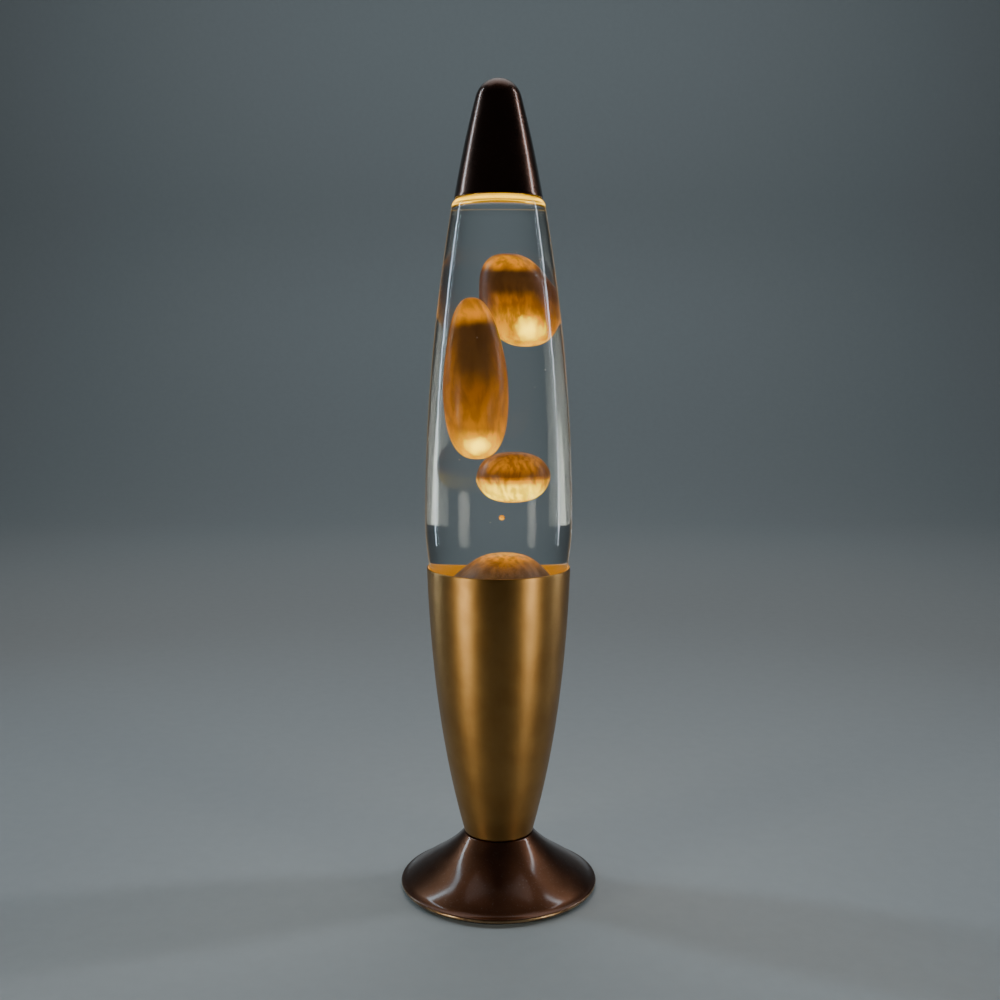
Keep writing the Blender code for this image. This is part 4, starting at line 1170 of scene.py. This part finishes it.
@dataclass
class Foot:
    """The flared foot with everything that closes and carries it."""

    sheet: float = 0.7 * MM
    neck: float = 15.3 * MM
    bore: float = 10.4 * MM
    roll: float = 1.0 * MM

    def build_shell(self) -> None:
        """Make the flare: a crisp neck, a slope that flattens to the rim, a rolled edge and the cord's hole."""
        radius, low, high = size_of("foot_shell")
        slope_end = (radius - 2.8 * MM, low + 2.6 * MM)
        lip = (radius - self.roll, low + 1.6 * MM)
        crown = arc((self.neck - 0.6 * MM, high - 0.6 * MM), 0.6 * MM, 90, 35, 6)
        flare = ease(tuple(crown[-1]), slope_end, (-1.2, -0.8), 56)
        skirt = path(crown, flare, ease(slope_end, lip, (-0.7, -0.3), 8))
        edge = arc((lip[0], lip[1] - self.roll), self.roll, 72, -40, 10)
        curl = arc((lip[0] - 0.1 * MM, lip[1] - self.roll), self.roll * 0.55, -60, 60, 8)
        outline = path([(self.bore, high)], skirt, edge, curl, offset(skirt, -self.sheet)[::-1],
                       [(self.bore, high - self.sheet)])
        shell = turned("foot_flare", outline, 192)
        (_, near, under), (_, far, over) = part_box("cord_grommet")
        hole, past = 4.1 * MM, far + 5 * MM
        rod = [(0, past), (hole, past), (hole, near), (0, near)]
        cut_away(shell, laid_back(turned("cord_hole", np.array(rod), 48), (under + over) / 2))
        # The rim's edge colour is worn lacquer and a painted highlight of the rolled rim.
        finish = SpunMetal("foot_lacquer", (0.135, 0.052, 0.024), (0.100, 0.036, 0.016), 0.34, 0.4, 0.55, 0.5,
                           edge=(low - 0.2 * MM, low + 1.3 * MM), worn_and_highlit_edge_colour=(0.40, 0.25, 0.12))
        report(dress(shell, finish), Body.BASE, "foot_shell")

    def build_grommet(self) -> None:
        """Make the grommet in the cord's hole: a sleeve with a collar inside and a soft rounded mouth."""
        (_, near, low), (_, far, high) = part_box("cord_grommet")
        bore, outer, collar = 3.1 * MM, 3.9 * MM, 4.7 * MM
        ring = rounded([(bore, near), (collar, near), (collar, near + 1.2 * MM), (outer, near + 1.3 * MM),
                        (outer, far), (bore, far)], 0.35 * MM, 4)
        grommet = laid_back(turned("cord_grommet_sleeve", ring, 64), (low + high) / 2)
        report(dress(grommet, RUBBER), Body.BASE, "cord_grommet")

    def build_cover(self) -> None:
        """Make the base cover, with raised rings moulded in its underside and a hole for each screw.

        The underside's height is flat, less a shallow step over each raised ring.
        """
        radius, low, high = size_of("base_cover")
        step = 0.2 * MM
        rings = [8, 9.2, 16, 17.2, 24, 25.2]
        under = [(r * MM, low + (step if i % 2 else 0)) for i, r in enumerate(rings) for _ in (0, 1)]
        under = [(r, z + (0 if n % 2 else (step if z == low else -step))) for n, (r, z) in enumerate(under)]
        corners = [(0, high), (radius - 0.2 * MM, high), (radius, high - 0.2 * MM), (radius, low + 0.1 * MM),
                   (radius - 0.1 * MM, low)] + under[::-1] + [(0, low + step)]
        cover = turned("base_cover_disc", np.array(corners), 160)
        for number in (1, 2, 3):
            drill(cover, stand_of(f"base_screw_{number}")[0], 1.8 * MM, low - MM, high + MM)
        report(dress(cover, PLASTIC), Body.BASE, "base_cover")

    def build_pad(self) -> None:
        """Make the rubber ring that the lamp stands on, with three fine grooves in its tread."""
        radius, low, high = size_of("foot_pad_ring")
        inner = 36.6 * MM
        tread = np.linspace(inner + 0.3 * MM, radius - 0.3 * MM, 49)
        share = (tread - inner) / (radius - inner)
        groove = 0.18 * MM * np.clip(np.sin(share * 3 * 2 * math.pi - math.pi / 2) * 3 - 2, 0, 1)
        underside = np.stack([tread, low + groove], axis=1)
        ring = path([(inner, low + 0.3 * MM)], underside, [(radius, low + 0.3 * MM), (radius, high), (inner, high)])
        report(dress(turned("pad_ring_tread", ring, 160), RUBBER), Body.BASE, "foot_pad_ring")

    def build_screws(self) -> None:
        """Make each cover screw, with a cross recess in a domed head and a thread on its shank."""
        for number in (1, 2, 3):
            centre, _, low, high = stand_of(f"base_screw_{number}")
            head, core, crest, pitch = 2.8 * MM, 1.15 * MM, 1.45 * MM, 0.75 * MM
            cap = [(0, low), (head - 0.7 * MM, low + 0.05 * MM), (head, low + 0.35 * MM), (head, low + 0.6 * MM)]
            screw = threaded(f"cover_screw_{number}", core, crest, pitch, low + 0.7 * MM, high, centre, cap)
            for turn in (0, math.pi / 2):
                cut_away(screw, slot_cutter(centre, low - 0.2 * MM, low + 0.38 * MM, 1.5 * MM, 0.32 * MM, turn))
            report(dress(screw, PLATED), Body.BASE, f"base_screw_{number}")

    def dress_tabs(self) -> None:
        """Give the tabs and the washers inside the foot their finishes."""
        for number in (1, 2, 3):
            dress(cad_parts[f"cover_tab_{number}"], TIN)
        dress(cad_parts["clamp_washer"], PLATED)
        dress(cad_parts["seat_washer"], FIBRE)
        dress(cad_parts["clamp_ring"], PHENOLIC)
        log.info("cover tabs, washers and clamp ring: dressed")

    def build(self) -> None:
        """Make the foot's pieces."""
        self.build_shell()
        self.build_grommet()
        self.build_cover()
        self.build_pad()
        self.build_screws()
        self.dress_tabs()


def slot_cutter(centre: tuple, low: float, high: float, half: float, thin: float, turn: float) -> Piece:
    """A flat block to cut a slot with, turned about a vertical axis.

    Its points are the corners (s, t) of a long rectangle at two heights, with s and t turned by an angle.
    """
    s = np.array([-half, half, half, -half])
    t = np.array([-thin, -thin, thin, thin])
    x = centre[0] + s * math.cos(turn) - t * math.sin(turn)
    y = centre[1] + s * math.sin(turn) + t * math.cos(turn)
    rows = [np.stack([x, y, np.full(4, z)], axis=1) for z in (low, high)]
    return surface("slot", np.stack(rows), wrap_v=True, caps=True)


def threaded(name: str, root: float, crest: float, pitch: float, low: float, high: float,
             centre: tuple = (0.0, 0.0), cap: list | None = None, sides: int = 40) -> Piece:
    """A rod with a real screw thread, and below it whatever outline its cap gives.

    The thread's radius is the root plus half the depth times (1 + cos p), where p grows by a full turn for
    each pitch of height and goes back by the angle round the rod. It fades in and out at the two ends.

    Args:
        name: the object's name.
        root: radius at the bottom of the thread.
        crest: radius at its top.
        pitch: rise in one turn.
        low: where the thread starts.
        high: where it ends.
        centre: the rod's axis in X and Y.
        cap: outline below the thread, from the axis outwards.
        sides: points round the rod.

    Returns:
        The new object.
    """
    rows = max(int((high - low) / pitch * 10), 12)
    z = np.linspace(low, high, rows)[:, None]
    angle = full_turn(sides)[None, :]
    fade = np.clip(np.minimum(z - low, high - z) / (0.6 * pitch), 0, 1)
    wave = 0.5 * (1 + winding(z, angle, pitch)) * fade
    thread = carried(root + (crest - root) * wave, angle, z)
    head = turned_points(np.array(cap or [(0, low)], float), sides)
    tip = turned_points(np.array([(0.0, high)]), sides)
    points = np.concatenate([head, thread, tip]) + np.array([*centre, 0.0])
    return surface(name, points, wrap_v=True)


# ---------------------------------------------------------------- lampholder and bulb


PITCH = 2.82 * MM  # of the bulb's screw thread


@dataclass
class Lampholder:
    """The screw lampholder inside the body."""

    depth: float = 0.35 * MM

    def build_screw_shell(self) -> None:
        """Make the rolled brass shell: its wall follows the bulb's thread, and its thickness is even."""
        radius, low, high = size_of("lampholder_screw_shell")
        skin, rows, sides = 0.35 * MM, 80, 72
        z = np.linspace(low, high, rows)[:, None]
        angle = full_turn(sides)[None, :]
        outer = radius - self.depth + 0.5 * self.depth * winding(z, angle, PITCH)
        points = np.concatenate([carried(outer, angle, z), carried(outer - skin, angle, z)[::-1]])
        shell = surface("holder_screw_shell", points, wrap_u=True, wrap_v=True)
        report(dress(shell, BRASS), Body.BASE, "lampholder_screw_shell")

    def build_housing(self) -> None:
        """Make the moulded housing, with ribs round its mouth for the fingers.

        A rib's radius is the plain outline's radius plus a wave round the axis, only on the mouth's side.
        """
        radius, low, high = size_of("lampholder_housing")
        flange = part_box("seat_washer")[1][2] + 0.3 * MM
        barrel, bore, pocket = 10.0 * MM, 8.1 * MM, 17.8 * MM
        ring = rounded([(0, pocket), (bore, pocket), (bore, high), (radius, high), (radius, flange + 1.5 * MM),
                        (radius, flange), (barrel, flange), (barrel, low), (0, low)], 0.5 * MM, 4, False)
        ribs = 32
        side = np.linspace(high - 2.0 * MM, flange + 2.2 * MM, 12)
        at = int(np.argmax((ring[:, 0] > radius - 1e-6) & (ring[:, 1] < high - 0.4 * MM)))
        ring = path(ring[:at + 1], np.stack([np.full(12, radius), side], axis=1), ring[at + 1:])
        points, angle = turned_points(ring, ribs * 8), full_turn(ribs * 8)
        on_side = (ring[:, 1] < high - 1.8 * MM) & (ring[:, 1] > flange + 1.9 * MM)
        on_side &= np.abs(ring[:, 0] - radius) < 1e-6
        points[..., :2] *= (1 - on_side[:, None] * 0.02 * (1 + np.cos(ribs * angle)) / 2)[..., None]
        housing = surface("holder_housing", points, wrap_v=True)
        for number in (1, 2):
            (x, _), _, _, top = stand_of(f"terminal_screw_{number}")
            drill(housing, (x, 0), 1.7 * MM, low - MM, top + 0.3 * MM)
        report(dress(housing, PHENOLIC), Body.BASE, "lampholder_housing")

    def build_terminals(self) -> None:
        """Make each terminal screw, with a straight slot, and dress the sprung contact."""
        for number in (1, 2):
            centre, head, low, high = stand_of(f"terminal_screw_{number}")
            cap = [(0, low), (head - 0.3 * MM, low), (head, low + 0.3 * MM), (head, low + 1.4 * MM)]
            screw = threaded(f"terminal_cheese_head_{number}", 1.1 * MM, 1.35 * MM, 0.6 * MM, low + 1.5 * MM, high,
                             centre, cap)
            cut_away(screw, slot_cutter(centre, low - 0.3 * MM, low + 0.6 * MM, head * 1.4, 0.35 * MM, 0.6 * number))
            report(dress(screw, BRASS), Body.BASE, f"terminal_screw_{number}")
        dress(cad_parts["lampholder_centre_contact"], BRASS)

    def build(self) -> None:
        """Make the lampholder's pieces."""
        self.build_screw_shell()
        self.build_housing()
        self.build_terminals()


@dataclass(frozen=True)
class Silvered:
    """The bulb's envelope: silvered below its shoulder, frosted on its face, and lit from inside."""

    name: str
    shoulder: float

    def build(self) -> bpy.types.Material:
        """Make the material."""
        material, graph, shader = start_material(self.name, {"IOR": 1.5, "Coat Weight": 1.0, "Coat Roughness": 0.05})
        share = graph.group("height_share", {"Low": self.shoulder - 0.6 * MM, "High": self.shoulder, "Wander": 0.1})
        face = graph.spread(share.outputs[0], 0.0, 1.0)
        graph.fill(shader.inputs["Base Color"], graph.mix(face, (0.85, 0.86, 0.88), (0.95, 0.92, 0.85)))
        graph.fill(shader.inputs["Metallic"], graph.spread(face, 1.0, 0.0))
        graph.fill(shader.inputs["Roughness"], graph.spread(face, 0.0, 1.0, (0.12, 0.5)))
        x, y, _ = graph.axes()
        radius = graph.length(x, y)
        middle = graph.spread(radius, 18 * MM, 2 * MM, (0.25, 1.0))
        light = graph.mix(graph.times(face, middle), (0, 0, 0), (1.0, 0.62, 0.26))
        graph.fill(shader.inputs["Emission Color"], light)
        shader.inputs["Emission Strength"].default_value = 6.0
        bump(graph, shader, graph.noise(graph.place(), 2500.0, 2.0), 0.01 * MM)
        return material


@dataclass
class Bulb:
    """The reflector bulb that screws into the lampholder."""

    wall: float = 0.7 * MM
    neck: float = 6.2 * MM
    waist: Point = (8.6 * MM, 53.0 * MM)

    def build_envelope(self) -> None:
        """Make the glass: a domed face, a round shoulder and a cone that narrows to the neck."""
        _, low, face = size_of("bulb_envelope")
        crown = ease((0, face), (15.6 * MM, face - 3.6 * MM), (0.0, -0.55), 24)
        rim = arc((15.5 * MM, face - 7.6 * MM), 4.0 * MM, 50, -20, 12)
        cone = rise((18.6 * MM, face - 12.2 * MM), self.waist, (0.62, 0.18), 32)
        neck = rise(self.waist, (self.neck, self.waist[1] - 7 * MM), (0.18, 0.0), 12)
        outside = path(crown, rim, cone, neck, [(self.neck, low)])
        glass = turned("bulb_reflector", path(outside, offset(outside, -self.wall)[::-1]), 128)
        report(dress(glass, Silvered("bulb_glass", face - 7.0 * MM)), Body.BULB, "bulb_envelope")

    def build_cap(self) -> None:
        """Make the brass cap: a rolled thread between a plain rim and a dished foot."""
        radius, low, high = size_of("bulb_screw_cap")
        thread_top, skin, sides = high - 2.2 * MM, 0.3 * MM, 72
        crest = 6.95 * MM
        z = np.linspace(low + 1.2 * MM, thread_top, 70)[:, None]
        angle = full_turn(sides)[None, :]
        fade = np.clip(np.minimum(z - z[0], z[-1] - z) / (0.5 * PITCH), 0, 1)
        wall = carried(crest - 0.55 * MM * 0.5 * (1 - winding(z, angle, PITCH)) * fade, angle, z)
        bore, inner = 4.0 * MM, crest - skin - 0.6 * MM
        foot = path([(bore, low)], arc((crest - 1.0 * MM, low + 1.0 * MM), 1.0 * MM, -90, 0, 6))
        rim = path([(crest, thread_top + 0.3 * MM), (radius, high - 0.3 * MM), (radius - 0.15 * MM, high)])
        back = path([(radius - 0.5 * MM, high), (inner, thread_top), (inner, low + 1.3 * MM), (bore, low + skin)])
        rows = [turned_points(foot, sides), wall, turned_points(rim, sides), turned_points(back, sides)]
        cap = surface("bulb_cap_thread", np.concatenate(rows), wrap_u=True, wrap_v=True)
        report(dress(cap, CAP_BRASS), Body.BULB, "bulb_screw_cap")

    def build_small(self) -> None:
        """Make the insulator, the tip contact, the stem, the lead wires and the coiled filament."""
        radius, low, high = size_of("bulb_insulator")
        ring = rounded([(1.6 * MM, high), (radius, high), (3.2 * MM, low), (1.6 * MM, low)], 0.4 * MM, 4)
        report(dress(turned("bulb_glass_insulator", ring, 64), INSULATOR), Body.BULB, "bulb_insulator")
        radius, low, high = size_of("bulb_tip_contact")
        dome = ease((0, low), (radius - 0.3 * MM, low + 0.9 * MM), (0.0, 0.9), 10)
        tip = path(dome, [(radius, low + 1.2 * MM), (1.3 * MM, low + 1.3 * MM), (1.3 * MM, high), (0, high)])
        report(dress(turned("bulb_solder_tip", tip, 48), TIN), Body.BULB_FOOT, "bulb_tip_contact")
        _, low, high = size_of("bulb_stem")
        tip, thin, wide = arc((0.7 * MM, high - 1.0 * MM), 1.0 * MM, 90, 0, 6), 2.0 * MM, 5.1 * MM
        flare = rise((thin, low + 12 * MM), (wide, low + 4 * MM), (-0.05, -0.3), 10)
        stem = path([(0, high)], tip, [(thin, low + 12 * MM)], flare, [(wide, low), (0, low)])
        clear = Clear("stem_glass", (0.95, 0.97, 0.96), 1.5)
        report(dress(turned("bulb_stem_glass", stem, 48), clear), Body.BULB, "bulb_stem")
        for number, side in ((1, -1), (2, 1)):
            way = np.array([(0.9, 0, 62.4), (1.4, 0, 65.0), (4.6, 0, 69.5), (6.0, 0, 72.0)]) * MM
            share, fine = np.linspace(0, 1, 4), np.linspace(0, 1, 17)
            out, up = np.interp(fine, share, way[:, 0]), np.interp(fine, share, way[:, 2])
            wire = tube(f"bulb_lead_wire_{number}", np.stack([side * out, 0 * fine, up], axis=1), 0.28 * MM, 10)
            report(dress(wire, NICKEL), Body.BULB, f"bulb_lead_{number}")
        self.build_filament()

    def build_filament(self) -> None:
        """Make the filament: a fine helix of wire along an arch between the two leads."""
        (x0, _, low), (x1, _, high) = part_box("bulb_filament")
        turns, wind = 40, 0.17 * MM
        s = np.linspace(-1, 1, turns * 8)
        arch = low + 0.25 * MM + (high - low - 0.5 * MM) * (1 - s * s)
        reach = (x1 - x0) / 2
        phase = math.pi * turns * s
        line = np.stack([s * reach, wind * np.cos(phase), arch + wind * np.sin(phase)], axis=1)
        finish = Glowing("filament", (1.0, 0.55, 0.18), 20.0)
        report(dress(tube("filament_coil", line, 0.06 * MM, 6), finish), Body.BULB, "bulb_filament")

    def build(self) -> None:
        """Make the bulb's pieces."""
        self.build_envelope()
        self.build_cap()
        self.build_small()


@dataclass(frozen=True)
class Glowing:
    """Hot metal that gives off light, a little uneven along its length."""

    name: str
    colour: Colour
    strength: float

    def build(self) -> bpy.types.Material:
        """Make the material."""
        fixed = {"Base Color": (0.2, 0.18, 0.16), "Metallic": 1.0, "Roughness": 0.4,
                 "Emission Strength": self.strength}
        material, graph, shader = start_material(self.name, fixed)
        patch = graph.spread(graph.noise(graph.place(), 900.0), 0.3, 0.7)
        dim = tuple(channel * 0.7 for channel in self.colour)
        graph.fill(shader.inputs["Emission Color"], graph.mix(patch, dim, self.colour))
        return material


# ---------------------------------------------------------------- studio


@dataclass(frozen=True)
class SoftLight:
    """A soft rectangular light.

    It stands at an azimuth in degrees round the lamp, from the front towards +X, at a distance from the
    lamp's axis and a height. Its size is a width and a height, its power is in watts, and its spread is the
    full angle of its cone of light in degrees. It faces the point that it aims at.
    """

    name: str
    azimuth: float
    distance: float
    height: float
    size: Point
    power: float
    aim: tuple[float, float, float]
    spread: float
    colour: Colour = (1.0, 1.0, 1.0)

    def hang(self) -> None:
        """Put the light in the scene, out of the camera's sight."""
        data = bpy.data.lights.new(self.name, "AREA")
        data.shape = "RECTANGLE"
        data.size, data.size_y = self.size
        data.energy = self.power
        data.spread = math.radians(self.spread)
        data.color = self.colour
        light = in_scene(self.name, data)
        turn = math.radians(self.azimuth)
        light.location = (self.distance * math.sin(turn), -self.distance * math.cos(turn), self.height)
        light.rotation_euler = (Vector(self.aim) - light.location).to_track_quat("-Z", "Y").to_euler()
        light.visible_camera = False


BODY_AIM, STRIP_AIM, BOTTLE_AIM = (0.0, 0.0, 0.095), (0.0, 0.0, 0.26), (0.0, 0.0, 0.25)
STRIP, HIGH_STRIP = (0.015, 0.38), (0.04, 0.6)
COOL, COOLER = (0.78, 0.90, 1.0), (0.62, 0.84, 1.0)
LIGHTS = (
    SoftLight("overhead", 180, 0.60, 1.4, (1.4, 1.4), 2.1, (0.0, 0.0, 0.0), 90),
    SoftLight("front_left", -54, 0.45, 0.085, (0.135, 0.12), 0.074, BODY_AIM, 44, (1.0, 0.99, 0.84)),
    SoftLight("front_right", 52, 0.45, 0.085, (0.10, 0.12), 0.052, BODY_AIM, 44, (1.0, 0.98, 0.84)),
    SoftLight("strip_left", -112, 0.35, 0.26, STRIP, 0.043, STRIP_AIM, 50, COOLER),
    SoftLight("strip_right", 104, 0.35, 0.26, STRIP, 0.043, STRIP_AIM, 50, COOL),
    SoftLight("high_left", -112, 0.7, 0.60, HIGH_STRIP, 0.37, BOTTLE_AIM, 80, COOLER),
    SoftLight("high_right", 104, 0.7, 0.60, HIGH_STRIP, 0.37, BOTTLE_AIM, 80, COOL),
    SoftLight("backdrop", 180, 0.70, 1.3, (1.8, 0.4), 2.1, (0.0, 1.6, 0.15), 120, (0.80, 0.93, 1.0)),
)


@dataclass
class Studio:
    """A plain pale floor that rises into a backdrop, soft lights, and the camera."""

    lens: float = 42.34
    eye: tuple[float, float, float] = (0.0006, -0.4944, 0.2281)
    pitch: float = 6.8
    floor_colour: Colour = (0.50, 0.53, 0.54)
    surround: Colour = (0.60, 0.63, 0.66)
    surround_strength: float = 0.06

    def place_camera(self) -> None:
        """Stand the camera in front of the lamp, a little above its middle and tipped down."""
        data = bpy.data.cameras.new("camera")
        data.lens = self.lens
        data.sensor_width = 36.0
        data.clip_start = 0.01
        eye = in_scene("camera", data)
        eye.location = self.eye
        eye.rotation_euler = (math.radians(90 - self.pitch), 0, 0)
        bpy.context.scene.camera = eye

    def lay_floor(self) -> None:
        """Lay the floor and bend it up behind: flat, then a quarter circle, then a wall."""
        back, bend, side = 1.1, 0.5, 3.0
        sweep = arc((back, bend), bend, -90, 0, 16)
        line = path([(-3.0, 0.0)], sweep, [(back + bend, 3.0)])
        x = np.array([-side, side])[None, :]
        points = np.stack([x + 0 * line[:, :1], line[:, :1] + 0 * x, line[:, 1:] + 0 * x], axis=-1)
        floor = surface("studio_floor", points)
        facing = np.array([polygon.normal[2] for polygon in floor.data.polygons])
        if facing.sum() < 0:
            floor.data.flip_normals()
        finish = Plain("floor_paper", self.floor_colour, 0.55, 0.0, 0.03, 300.0, 0.01 * MM, 0.0)
        floor.data.materials.append(finish.build())

    def light(self) -> None:
        """Hang every light and set the dim pale surround."""
        world = bpy.data.worlds.new("surround")
        world.use_nodes = True
        background = world.node_tree.nodes["Background"]
        background.inputs["Color"].default_value = (*self.surround, 1.0)
        background.inputs["Strength"].default_value = self.surround_strength
        bpy.context.scene.world = world
        for light in LIGHTS:
            light.hang()

    def build(self) -> None:
        """Make the floor and the lights."""
        self.lay_floor()
        self.light()


def main() -> None:
    """Make the shared effects, then every sub-assembly, then the studio."""
    logging.basicConfig(level=logging.INFO, format="%(message)s")
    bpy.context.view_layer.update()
    studio = Studio()
    studio.place_camera()
    make_spun_grain()
    make_handling()
    make_height_share()
    make_wax_streaks()
    TopCap().build()
    bottle, pool = Bottle(), WaxPool()
    bottle.build(pool)
    pool.build(bottle)
    for blob in make_blobs():
        blob.build()
    BodyShell().build()
    Foot().build()
    Lampholder().build()
    Bulb().build()
    studio.build()


if __name__ == "__main__":
    main()
